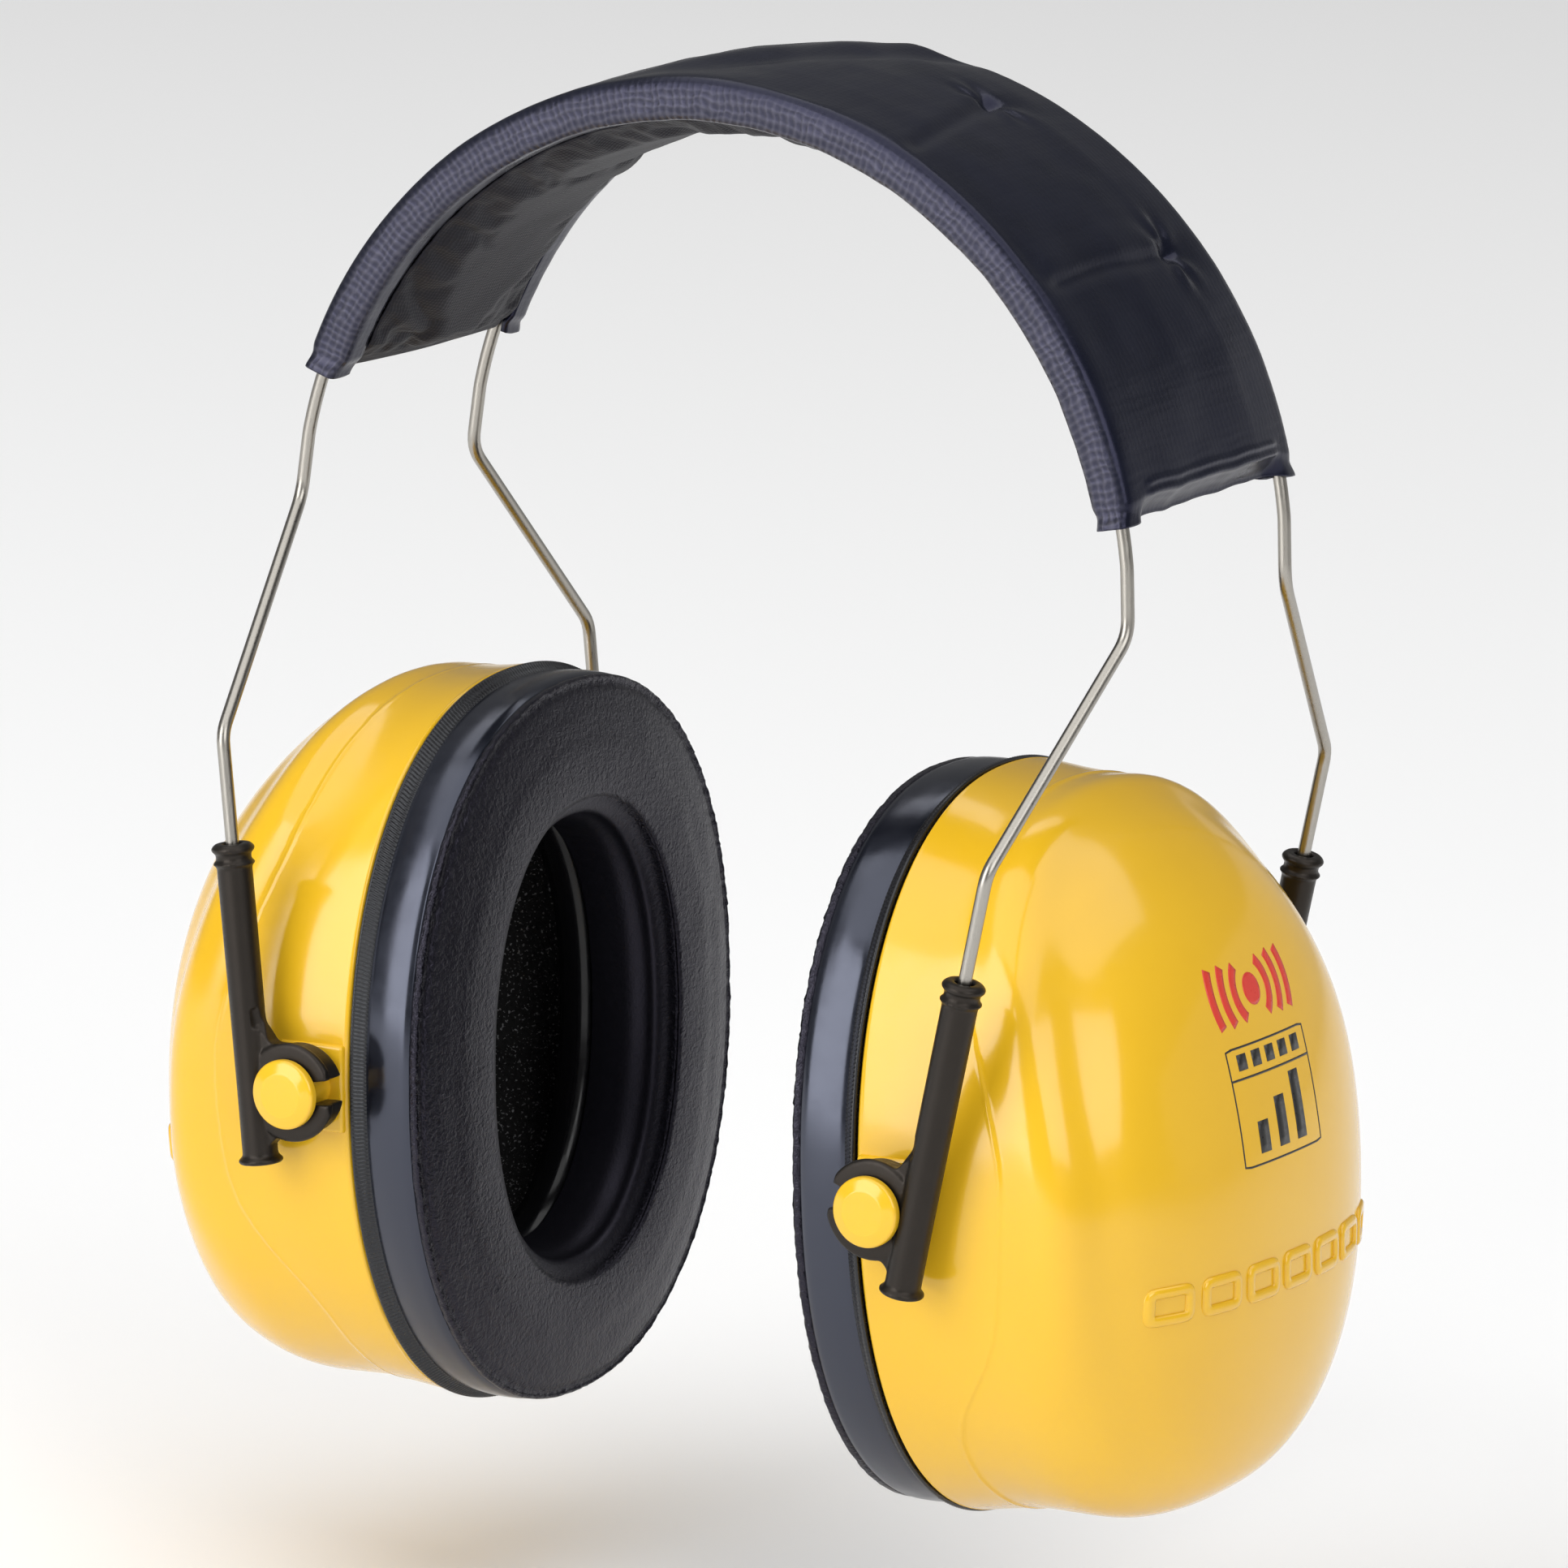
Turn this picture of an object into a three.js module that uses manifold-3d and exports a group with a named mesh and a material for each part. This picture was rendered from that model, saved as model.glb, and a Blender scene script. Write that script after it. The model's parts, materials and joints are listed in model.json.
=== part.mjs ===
// Over-the-head hearing protection earmuffs: a padded two-wire headband, four wire clamps and two cups.
// Millimetres. X runs across the head, Y from the front (-) to the rear (+), Z up.
// Everything is drawn from the axis of the cups' pivot studs, and the whole is then lowered so that the
// origin lies under the middle of the band, where it rests on the crown of the head.
import * as THREE from "three";
import { mergeVertices } from "three/addons/utils/BufferGeometryUtils.js";
import Module from "manifold-3d";

const wasm = await Module();
wasm.setup();

// ---- Driving dimensions -------------------------------------------------------------------------

const gap = 0.3; // between pieces that touch

// The headband's two spring wires, which cross the head side by side and spread apart over the cups.
const wire = {
  radius: 0.9,
  archRadius: 63.5,
  archCentre: 74, // height of the arch's centre over the studs
  archOffset: 22, // from the middle of the band
  kinkHeight: 75, // where the wire leaves the arch and spreads
  firstStep: 4, // degrees from there to the first step round the arch
  bendReach: 2.5, // length of a bend, on each side of its corner
};

// The padded sleeve on the arch.
const sleeve = {
  rightEnd: 13.7, // degrees over the horizontal at which each end of it stops
  leftEnd: 17,
  steps: 24,
  halfWidth: 24,
  edgeTop: 2.4, // measured outwards from the wires' centreline
  crownTop: 3.0,
  underside: -3.4,
  sag: 1.6, // of the lining's middle, below its edges
  sheet: 0.8,
  corner: 0.8, // bevels of the cover's section, under and over its edge
  shoulder: 1.3,
  flange: 4.6, // width that the cover folds in under each wire
  padHalfWidth: 20.6,
};

// Each clamp is a tube that slides on the wire, with a split ring that snaps on to the cup's stud.
const clamp = {
  axisOffset: 47.4, // of the tube, from the middle of the band
  lean: THREE.MathUtils.degToRad(8.9), // of the tube, out from the head at its top
  reach: 6.2, // from the stud's axis to the tube's
  bottom: -9.9, // along the tube, from the stud's axis
  top: 33.7,
  tubeRadius: 2.4,
  boreRadius: 1.25,
  beadRadius: 2.88,
  flangeRadius: 3.02,
  ringRadius: 6.8,
  ringBore: 3.55,
  ringWidth: 4.5,
  ringFace: 48.85, // outer face of the ring, from the middle of the band
  slot: 2.8,
  webWidth: 3.0,
  wireEnd: 3.6, // where the wire stops inside the tube, along it from the stud's axis
  kink: 48.6, // where the wire bends away above the tube
};

// A cup: an egg-shaped shell, wider and deeper below its middle.
const cup = {
  rimX: 39.3, // from the middle of the head to the shell's rim
  tilt: { right: 5, left: -3.5 }, // degrees that each cup hangs at, top towards the head
  wall: 0.944, // size of the hollow as a part of the shell's size
  power: 2.2, // of the oval, where 2 is an ellipse
  // depth from the rim, half width, half height, height of the middle
  stations: [
    [0, 42.5, 50.5, 0],
    [8, 43, 49.4, 0],
    [16, 42.8, 48, -0.4],
    [22, 42, 45.8, -2.2],
    [28, 39.8, 42, -4],
    [33.5, 35.5, 36.8, -6],
    [37.5, 28.5, 29.5, -8],
    [40.6, 19, 19.5, -10.3],
    [42.1, 9.5, 9.5, -11.8],
  ],
  apex: [42.5, -12.6], // depth and height
  around: 30, // points in each oval
};

const stud = {
  x: 44.8, // from the middle of the head
  root: 40.6, // its inner end, in the shell's wall
  neckRadius: 3.2,
  headRadius: 4.75,
  headFace: 50.8, // from the middle of the band
  headDome: 0.3,
  bossSide: 8.8,
  bossFace: 43.9,
};

// The cushion's section runs from its opening (0) to its outer edge (1), and from the rim to the head.
const cushion = {
  outer: [42, 50],
  opening: [20.5, 29.8],
  depth: 11,
};

const plate = {
  back: 2.2, // depth of its back from the rim
  lip: 0.6, // of its opening beyond the cushion's
  collarWall: 1.6,
  collarEnd: 5.5, // depth from the rim
};

const liner = { outside: 0.93, inside: 0.78 }; // as parts of the shell's size

// ---- Materials ----------------------------------------------------------------------------------

const material = (name, color, roughness, metalness = 0) =>
  new THREE.MeshStandardMaterial({ name, color, roughness, metalness });

const yellowPlastic = () => material("yellow_plastic", 0xf2b417, 0.25);
const steel = () => material("steel_wire", 0xb9b4a8, 0.35, 1);
const blackPlastic = () => material("black_plastic", 0x1a1a1b, 0.45);
const bandVinyl = () => material("band_vinyl", 0x1c1f29, 0.4);
const bandLining = () => material("band_lining", 0x33343a, 0.75);
const cushionVinyl = () => material("cushion_vinyl", 0x17181b, 0.3);
const faceVinyl = () => material("face_vinyl", 0x1d1d20, 0.5);
const foam = () => material("foam", 0x2a2a2c, 0.95);

// ---- Shared shapes ------------------------------------------------------------------------------

function solidOf(geometry) {
  const bare = geometry.index ? geometry.toNonIndexed() : geometry.clone();
  bare.deleteAttribute("normal");
  bare.deleteAttribute("uv");
  const merged = mergeVertices(bare, 1e-3);
  return new wasm.Manifold(
    new wasm.Mesh({
      numProp: 3,
      vertProperties: merged.attributes.position.array,
      triVerts: new Uint32Array(merged.index.array),
    }),
  );
}

function geometryOf(solid) {
  const { vertProperties, triVerts } = solid.getMesh();
  return new THREE.BufferGeometry()
    .setAttribute("position", new THREE.BufferAttribute(vertProperties, 3))
    .setIndex(new THREE.BufferAttribute(triVerts, 1));
}

function meshOf(name, geometry, look) {
  geometry.computeVertexNormals();
  const mesh = new THREE.Mesh(geometry, look);
  mesh.name = name;
  return mesh;
}

// A path through given points, so that a sweep takes one step from each point to the next.
class PointPath extends THREE.Curve {
  constructor(points) {
    super();
    this.points = points;
  }

  getPointAt(part) {
    const place = part * (this.points.length - 1);
    const i = Math.min(Math.floor(place), this.points.length - 2);
    return this.points[i].clone().lerp(this.points[i + 1], place - i);
  }

  getTangentAt(part) {
    const last = this.points.length - 1;
    const i = Math.round(part * last);
    const [before, here, after] = [i - 1, i, i + 1].map((k) => this.points[Math.max(0, Math.min(last, k))]);
    const arriving = here.clone().sub(before).normalize();
    const leaving = after.clone().sub(here).normalize();
    return arriving.add(leaving).normalize();
  }
}

function sweep(shape, points, curveSegments = 4) {
  const path = new PointPath(points);
  return new THREE.ExtrudeGeometry(shape, { steps: points.length - 1, extrudePath: path, curveSegments });
}

// A closed skin through rings of equal numbers of points. Two poles close its ends, and without them
// the last ring joins the first.
function skin(rings, startPole, endPole) {
  const count = rings[0].length;
  const points = rings.flat();
  const faces = [];
  const bands = startPole ? rings.length - 1 : rings.length;
  for (let band = 0; band < bands; band++) {
    const next = (band + 1) % rings.length;
    for (let i = 0; i < count; i++) {
      const j = (i + 1) % count;
      const [a, b, c, d] = [band * count + i, band * count + j, next * count + j, next * count + i];
      faces.push(a, b, c, a, c, d);
    }
  }
  if (startPole) {
    const first = points.push(startPole) - 1;
    const last = points.push(endPole) - 1;
    const lastRing = (rings.length - 1) * count;
    for (let i = 0; i < count; i++) {
      const j = (i + 1) % count;
      faces.push(first, j, i, last, lastRing + i, lastRing + j);
    }
  }
  return new THREE.BufferGeometry().setFromPoints(points).setIndex(faces);
}

// An oval across the cup: x is the depth from the rim, outwards from the head.
function oval(depth, halfWidth, halfHeight, middle = 0) {
  const round = (value) => Math.sign(value) * Math.abs(value) ** (2 / cup.power);
  return Array.from({ length: cup.around }, (_, i) => {
    const angle = (2 * Math.PI * i) / cup.around;
    return new THREE.Vector3(
      depth,
      halfWidth * round(Math.cos(angle)),
      middle + halfHeight * round(Math.sin(angle)),
    );
  });
}

// ---- Headband -----------------------------------------------------------------------------------

const archPoint = (degrees, y) => {
  const angle = THREE.MathUtils.degToRad(degrees);
  const x = wire.archRadius * Math.cos(angle);
  return new THREE.Vector3(x, y, wire.archCentre + wire.archRadius * Math.sin(angle));
};

// A point in the plane of a right-hand clamp, along its tube and across from the stud's axis.
function onTube(along, y) {
  const across = clamp.reach;
  return new THREE.Vector3(
    stud.x + across * Math.cos(clamp.lean) + along * Math.sin(clamp.lean),
    y,
    -across * Math.sin(clamp.lean) + along * Math.cos(clamp.lean),
  );
}

function bend(before, corner, after) {
  const towards = (point) => corner.clone().add(point.clone().sub(corner).setLength(wire.bendReach));
  return new THREE.QuadraticBezierCurve3(towards(before), corner, towards(after)).getPoints(4);
}

function wireGeometry(side) {
  const kinkAngle = THREE.MathUtils.radToDeg(
    Math.asin((wire.kinkHeight - wire.archCentre) / wire.archRadius),
  );
  const end = onTube(clamp.wireEnd, side * clamp.axisOffset);
  const lowKink = onTube(clamp.kink, side * clamp.axisOffset);
  const highKink = archPoint(kinkAngle, side * wire.archOffset);
  const archStart = archPoint(kinkAngle + wire.firstStep, side * wire.archOffset);
  const rightLeg = [end, ...bend(end, lowKink, highKink), ...bend(lowKink, highKink, archStart)];
  const leftLeg = rightLeg.map((p) => new THREE.Vector3(-p.x, p.y, p.z)).reverse();
  const arch = [kinkAngle + wire.firstStep];
  for (let i = 0; i <= sleeve.steps; i++) arch.push(sleeveAngle(i));
  arch.push(180 - kinkAngle - wire.firstStep);
  const path = [...rightLeg, ...arch.map((angle) => archPoint(angle, side * wire.archOffset)), ...leftLeg];
  return sweep(new THREE.Shape().absarc(0, 0, wire.radius, 0, 2 * Math.PI), path);
}

const sleeveAngle = (step) =>
  sleeve.rightEnd + ((180 - sleeve.leftEnd - sleeve.rightEnd) * step) / sleeve.steps;

// Sweeps a section round the arch: its x runs across the band and its y outwards from the wires.
function alongArch(section) {
  const path = Array.from({ length: sleeve.steps + 1 }, (_, i) => archPoint(sleeveAngle(i), 0));
  return sweep(new THREE.Shape(section.map(([x, y]) => new THREE.Vector2(x, y))), path);
}

const acrossBand = (points) => points.map(([x, y]) => [-x, y]).reverse();

// The cover's sheet goes over the top and folds in under both wires.
function coverGeometry() {
  const { halfWidth, edgeTop, crownTop, underside, sheet, flange, corner, shoulder } = sleeve;
  const outside = [
    [halfWidth - flange, underside],
    [halfWidth - corner, underside],
    [halfWidth, underside + corner],
    [halfWidth, edgeTop - shoulder],
    [halfWidth - shoulder, edgeTop],
    [halfWidth / 2, (edgeTop + 2 * crownTop) / 3],
  ];
  const inside = [
    [halfWidth / 2, (edgeTop + 2 * crownTop) / 3 - sheet],
    [halfWidth - shoulder - sheet / 2, edgeTop - sheet],
    [halfWidth - sheet, edgeTop - shoulder - sheet / 2],
    [halfWidth - sheet, underside + sheet],
    [halfWidth - flange, underside + sheet],
  ];
  return alongArch([...outside, ...acrossBand(outside), ...acrossBand(inside), ...inside]);
}

// The lining hangs between the cover's folded edges.
function liningGeometry() {
  const { halfWidth, flange, underside, sheet, sag } = sleeve;
  const edge = halfWidth - flange - gap;
  const below = [
    [edge, underside],
    [edge / 2, underside - sag],
  ];
  const above = below.map(([x, y]) => [x, y + sheet]).reverse();
  return alongArch([...below, ...acrossBand(below), ...acrossBand(above), ...above]);
}

function padGeometry() {
  const { padHalfWidth, underside, sheet, edgeTop, sag } = sleeve;
  const [bottom, top] = [underside + sheet + gap, edgeTop - sheet - gap];
  const right = [
    [padHalfWidth / 2, bottom - sag / 2],
    [padHalfWidth, bottom],
    [padHalfWidth, top],
  ];
  return alongArch([...right, ...acrossBand(right)]);
}

function headband() {
  const group = new THREE.Group();
  group.add(
    meshOf("front_wire", wireGeometry(-1), steel()),
    meshOf("rear_wire", wireGeometry(1), steel()),
    meshOf("band_cover", coverGeometry(), bandVinyl()),
    meshOf("band_lining", liningGeometry(), bandLining()),
    meshOf("band_pad", padGeometry(), foam()),
  );
  return group;
}

// ---- Wire clamps --------------------------------------------------------------------------------

// In the clamp's own frame the stud's axis is Y and the tube runs along Z, at x = reach. The frame's
// y = 0 is at the tube's axis, and y grows away from the cup.
function clampGeometry() {
  const { bottom, top, reach, ringRadius, ringBore, ringWidth, slot, boreRadius } = clamp;
  const ringMiddle = clamp.ringFace - clamp.axisOffset - ringWidth / 2;
  const past = 2; // how far a cutter runs past what it cuts
  const disc = new THREE.CylinderGeometry(ringRadius, ringRadius, ringWidth, 24);
  const studHole = new THREE.CylinderGeometry(ringBore, ringBore, ringWidth + past, 24);
  const ringSlot = new THREE.BoxGeometry(ringRadius + past, ringWidth + past, slot);
  const wireHole = new THREE.CylinderGeometry(boreRadius, boreRadius, top - bottom + past, 12);
  ringSlot.translate(-(ringRadius + past) / 2, ringMiddle, 0);
  wireHole.rotateX(Math.PI / 2).translate(reach, 0, (top + bottom) / 2);
  disc.translate(0, ringMiddle, 0);
  const body = [disc, webGeometry(), tubeGeometry()].map(solidOf).reduce((sum, piece) => sum.add(piece));
  const holes = [studHole.translate(0, ringMiddle, 0), ringSlot, wireHole].map(solidOf);
  return geometryOf(holes.reduce((sum, hole) => sum.subtract(hole), body));
}

// The tube has a bead and a thinner bead under its mouth, and a thin flange at its foot.
function tubeGeometry() {
  const { bottom, top, tubeRadius, beadRadius, flangeRadius } = clamp;
  const profile = [
    [0, bottom],
    [flangeRadius, bottom],
    [flangeRadius, bottom + 0.7],
    [tubeRadius, bottom + 1],
    [tubeRadius, top - 4.2],
    [beadRadius, top - 3.8],
    [beadRadius, top - 3.2],
    [tubeRadius, top - 2.8],
    [tubeRadius, top - 1.9],
    [beadRadius, top - 1.5],
    [beadRadius, top - 0.3],
    [beadRadius - 0.3, top],
    [0, top],
  ].map(([radius, height]) => new THREE.Vector2(radius, height));
  return new THREE.LatheGeometry(profile, 12).rotateX(Math.PI / 2).translate(clamp.reach, 0, 0);
}

// The web fills the corners between the ring and the tube.
function webGeometry() {
  const { ringRadius, reach, bottom, webWidth } = clamp;
  const shape = new THREE.Shape()
    .moveTo(reach, bottom + 0.8)
    .lineTo(reach, -bottom + 1)
    .quadraticCurveTo(reach - 2.4, ringRadius, 0, ringRadius - 0.4)
    .lineTo(0, -ringRadius + 0.4)
    .quadraticCurveTo(reach - 2.4, -ringRadius, reach, bottom + 0.8);
  const flat = new THREE.ExtrudeGeometry(shape, { depth: webWidth, bevelEnabled: false, curveSegments: 5 });
  return flat.rotateX(Math.PI / 2).translate(0, webWidth / 2, 0);
}

function clampAt(name, side) {
  const mesh = meshOf(name, clampGeometry(), blackPlastic());
  mesh.position.set(stud.x, side * clamp.axisOffset, 0);
  mesh.rotation.y = clamp.lean;
  mesh.scale.y = side;
  return mesh;
}

// ---- Cups ---------------------------------------------------------------------------------------

// Rings of the shell's form, shrunk about the middle of its rim, from the given station outwards.
const cupRings = (size, from) =>
  cup.stations.slice(from).map((station) => oval(...station.map((value) => size * value)));

function cupPole(size) {
  const [depth, height] = cup.apex;
  return new THREE.Vector3(size * depth, 0, size * height);
}

const bowl = (outside, inside, from) =>
  skin(
    [...cupRings(inside, from).reverse(), ...cupRings(outside, from)],
    cupPole(inside),
    cupPole(outside),
  );

// The stud stands out of the wall on both sides: a square boss, a neck and a domed head.
function studGeometry(side) {
  const { root, neckRadius, headRadius, headFace, headDome, bossSide, bossFace } = stud;
  const headBack = clamp.ringFace + gap;
  const profile = [
    [0, root],
    [neckRadius, root],
    [neckRadius, headBack],
    [headRadius, headBack],
    [headRadius, headFace - headDome],
    [headRadius - headDome, headFace - headDome / 3],
    [0, headFace],
  ].map(([radius, y]) => new THREE.Vector2(radius, y));
  const turned = new THREE.LatheGeometry(profile, 20);
  const boss = new THREE.BoxGeometry(bossSide, bossFace - root, bossSide);
  boss.translate(0, (bossFace + root) / 2, 0);
  const both = solidOf(turned).add(solidOf(boss));
  const placed = geometryOf(both).translate(stud.x - cup.rimX, 0, 0);
  return side < 0 ? placed.rotateX(Math.PI) : placed;
}

function shellGeometry() {
  let shell = solidOf(bowl(1, cup.wall, 0));
  for (const side of [-1, 1]) shell = shell.add(solidOf(studGeometry(side)));
  return geometryOf(shell);
}

// A flat ring in the cup's mouth with a short collar round the opening.
function backplateGeometry() {
  const [, rimHalfWidth, rimHalfHeight] = cup.stations[0];
  const outside = [cup.wall * rimHalfWidth - 2 * gap, cup.wall * rimHalfHeight - 2 * gap];
  const hole = cushion.opening.map((half) => half + plate.lip);
  const ringAt = ([halfWidth, halfHeight], depth) => oval(depth, halfWidth, halfHeight);
  const collar = hole.map((half) => half + plate.collarWall);
  return skin([
    ringAt(hole, gap),
    ringAt(outside, gap),
    ringAt(outside, plate.back),
    ringAt(collar, plate.back),
    ringAt(collar, plate.collarEnd),
    ringAt(hole, plate.collarEnd),
  ]);
}

// A ring round the opening, from its section: how far each corner is from the opening (0) to the outer
// edge (1), and how far it is from the rim towards the head.
function cushionRing(section) {
  const { opening, outer } = cushion;
  const mix = (k, part) => opening[k] + (outer[k] - opening[k]) * part;
  return skin(section.map(([part, height]) => oval(-height, mix(0, part), mix(1, part))).reverse());
}

// The moulded side wall, with the flat back that lies on the plate and the thin flange beside the rim.
const sideSkinGeometry = () =>
  cushionRing([
    [0.07, gap],
    [1.015, gap],
    [1.015, 1.3],
    [0.985, 1.8],
    [1.0, 4.5],
    [0.995, 7.5],
    [0.975, 9.2],
    [0.93, 9.2],
    [0.95, 5],
    [0.94, 1.3],
    [0.07, 1.3],
  ]);

// The soft face: it starts at the bead on the outer edge, rolls over and lines the opening.
const faceSkinGeometry = () => {
  const { depth } = cushion;
  return cushionRing([
    [0.97, 9.5],
    [0.99, 10],
    [0.93, depth - 0.4],
    [0.7, depth],
    [0.4, depth],
    [0.12, depth - 1.3],
    [0.0, 7.5],
    [0.0, gap],
    [0.045, gap],
    [0.045, 7],
    [0.14, depth - 2.1],
    [0.32, depth - 1.1],
    [0.6, depth - 0.9],
    [0.9, 9.5],
  ]);
};

const cushionFoamGeometry = () =>
  cushionRing([
    [0.07, 1.6],
    [0.92, 1.6],
    [0.93, 7.5],
    [0.88, 9.1],
    [0.6, 9.7],
    [0.33, 9.5],
    [0.16, 8.4],
    [0.07, 6.8],
  ]);

// The cup hangs on its studs, so it tilts about their axis.
function cupParts(prefix) {
  const group = new THREE.Group();
  group.add(
    meshOf(`${prefix}_cup_shell`, shellGeometry(), yellowPlastic()),
    meshOf(`${prefix}_cup_backplate`, backplateGeometry(), blackPlastic()),
    meshOf(`${prefix}_cup_foam_liner`, bowl(liner.outside, liner.inside, 1), foam()),
    meshOf(`${prefix}_cushion_side_skin`, sideSkinGeometry(), cushionVinyl()),
    meshOf(`${prefix}_cushion_face_skin`, faceSkinGeometry(), faceVinyl()),
    meshOf(`${prefix}_cushion_foam`, cushionFoamGeometry(), foam()),
  );
  const hung = new THREE.Group();
  group.position.x = cup.rimX - stud.x;
  hung.add(group);
  hung.position.x = stud.x;
  hung.rotation.y = -THREE.MathUtils.degToRad(cup.tilt[prefix]);
  return hung;
}

// ---- The whole ----------------------------------------------------------------------------------

// The object is the same front to rear, so the left half is the right half turned round.
function half(prefix, turn) {
  const group = new THREE.Group();
  group.add(cupParts(prefix));
  const turned = turn ? -1 : 1;
  group.add(clampAt(`${prefix}_front_wire_clamp`, -turned), clampAt(`${prefix}_rear_wire_clamp`, turned));
  if (turn) group.rotation.z = Math.PI;
  return group;
}

const crownUnderside = wire.archCentre + wire.archRadius + sleeve.underside - sleeve.sag;
const muffs = new THREE.Group();
muffs.add(headband(), half("right", false), half("left", true));
muffs.position.z = -crownUnderside;

const earmuffs = new THREE.Group();
earmuffs.add(muffs);

export default earmuffs;
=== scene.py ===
"""Looks of the hearing protection earmuffs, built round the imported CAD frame."""

import json
import math
from functools import cache

import bmesh
import bpy
import numpy as np
from mathutils import Matrix, Vector
from mathutils.bvhtree import BVHTree


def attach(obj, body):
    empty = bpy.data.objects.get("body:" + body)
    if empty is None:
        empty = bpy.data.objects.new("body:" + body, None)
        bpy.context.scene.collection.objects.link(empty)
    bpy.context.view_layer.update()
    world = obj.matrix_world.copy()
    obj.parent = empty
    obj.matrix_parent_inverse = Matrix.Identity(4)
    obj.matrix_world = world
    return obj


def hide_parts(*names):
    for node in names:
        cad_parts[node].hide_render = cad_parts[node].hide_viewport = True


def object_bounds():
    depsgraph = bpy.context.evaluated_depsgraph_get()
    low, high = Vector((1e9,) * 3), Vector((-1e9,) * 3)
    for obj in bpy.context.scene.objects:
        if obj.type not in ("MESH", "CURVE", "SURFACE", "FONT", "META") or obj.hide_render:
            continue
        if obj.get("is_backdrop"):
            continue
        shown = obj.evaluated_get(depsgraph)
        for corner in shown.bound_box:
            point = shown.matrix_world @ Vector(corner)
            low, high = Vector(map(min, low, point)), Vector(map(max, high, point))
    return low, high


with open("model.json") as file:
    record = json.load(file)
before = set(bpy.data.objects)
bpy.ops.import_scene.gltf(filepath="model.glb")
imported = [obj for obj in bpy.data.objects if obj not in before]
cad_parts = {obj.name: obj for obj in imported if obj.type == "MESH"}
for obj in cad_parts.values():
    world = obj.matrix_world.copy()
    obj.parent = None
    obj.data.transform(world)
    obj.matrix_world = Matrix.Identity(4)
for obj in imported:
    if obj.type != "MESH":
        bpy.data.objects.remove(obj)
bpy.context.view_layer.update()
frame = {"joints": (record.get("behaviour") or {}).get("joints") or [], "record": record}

# ---- Driving dimensions, in millimetres from the studs' axis, as in the CAD ----

MM = 0.001
JOINTS = {joint["name"]: joint for joint in frame["joints"]}
MOUNTS = {mount["name"]: mount for mount in frame["record"]["mounts"]}
STUD_X, _, STUD_Z = (value / MM for value in JOINTS["right_cup_tilt"]["pos_m"])
SIDES = {"right": 1, "left": -1}
ENDS = {"front": -1, "rear": 1}

ARCH_RADIUS = 63.5
ARCH_CENTRE = 74
ARCH_OFFSET = 22  # of each wire from the middle of the band
WIRE_RADIUS = 0.9
KINK_HEIGHT = 75
BEND_RADII = (4.5, 6)  # over the clamp, and at the sleeve

SLEEVE_RIGHT = 13.7  # degrees over the horizontal at which the sleeve stops
SLEEVE_LEFT = 180 - 17
SLEEVE_HALF = 24
SLEEVE_EDGE = 2.4  # outwards from the wires' centreline
SLEEVE_CROWN = 3.0
SLEEVE_UNDER = -3.4
SHEET = 0.8  # thickness of the cover
FLANGE = 4.6  # width of the edge folded under
LINING_HALF = SLEEVE_HALF - FLANGE - 0.3
LINING_THICKNESS = 0.5

CLAMP_Y = 47.4
CLAMP_LEAN = math.radians(8.9)
CLAMP_REACH = 6.2
CLAMP_BOTTOM = -9.9
CLAMP_TOP = 33.7
TUBE_RADIUS = 2.4
CLAMP_KINK = 48.6
WIRE_END = 3.6
RING_FRONT = 48.85 - CLAMP_Y  # from the tube's axis

RIM_X = 39.3
OVAL_POWER = 2.2
WALL = 0.944
CUSHION_OUTER = (42, 50)
CUSHION_OPENING = (20.5, 29.8)

# Depth from the rim, half width, half height and height of the middle, from the rim to past the apex.
STATIONS = np.array([
    [0, 42.5, 50.5, 0],
    [8, 43, 49.4, 0],
    [16, 42.8, 48.7, -0.5],
    [22, 42, 46.9, -2.3],
    [28, 39.8, 43.3, -4.2],
    [33.5, 35.5, 37.9, -6.3],
    [37.5, 28.5, 30.2, -8.3],
    [40.6, 19, 19.5, -10.3],
    [42.1, 9.5, 9.5, -11.8],
    [42.5, 0, 0, -12.6],
])

# ---- Small tools ----


def spline(knots, values, at):
    """A natural cubic spline through the values at the knots, read at other places."""
    knots, values = np.asarray(knots, float), np.asarray(values, float)
    steps = np.diff(knots)
    system = np.eye(len(knots))
    right = np.zeros(values.shape)
    for i in range(1, len(knots) - 1):
        system[i, i - 1 : i + 2] = steps[i - 1], 2 * (steps[i - 1] + steps[i]), steps[i]
        rise, fall = values[i + 1] - values[i], values[i] - values[i - 1]
        right[i] = 6 * (rise / steps[i] - fall / steps[i - 1])
    bend = np.linalg.solve(system, right)
    k = np.clip(np.searchsorted(knots, at, side="right") - 1, 0, len(knots) - 2)
    shape = np.shape(k) + (1,) * (values.ndim - 1)
    step, past = steps[k].reshape(shape), (np.asarray(at) - knots[k]).reshape(shape)
    left = step - past
    curve = (bend[k] * left**3 + bend[k + 1] * past**3) / (6 * step)
    line = (values[k] / step - bend[k] * step / 6) * left
    return curve + line + (values[k + 1] / step - bend[k + 1] * step / 6) * past


def turns(count):
    """Even angles round a circle."""
    return np.linspace(0, 2 * np.pi, count, endpoint=False)


def lengths(points):
    """How far along a polyline each of its points is."""
    return np.concatenate([[0], np.cumsum(np.linalg.norm(np.diff(points, axis=0), axis=1))])


def along(points, count):
    """A smooth curve through the points, with evenly spaced samples."""
    points = np.asarray(points, float)
    far = lengths(points)
    return spline(far, points, np.linspace(0, far[-1], count))


def read_along(points, places):
    """The points of a polyline at some lengths along it."""
    far = lengths(points)
    return np.stack([np.interp(places, far, points[:, k]) for k in range(points.shape[1])], axis=1)


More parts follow.
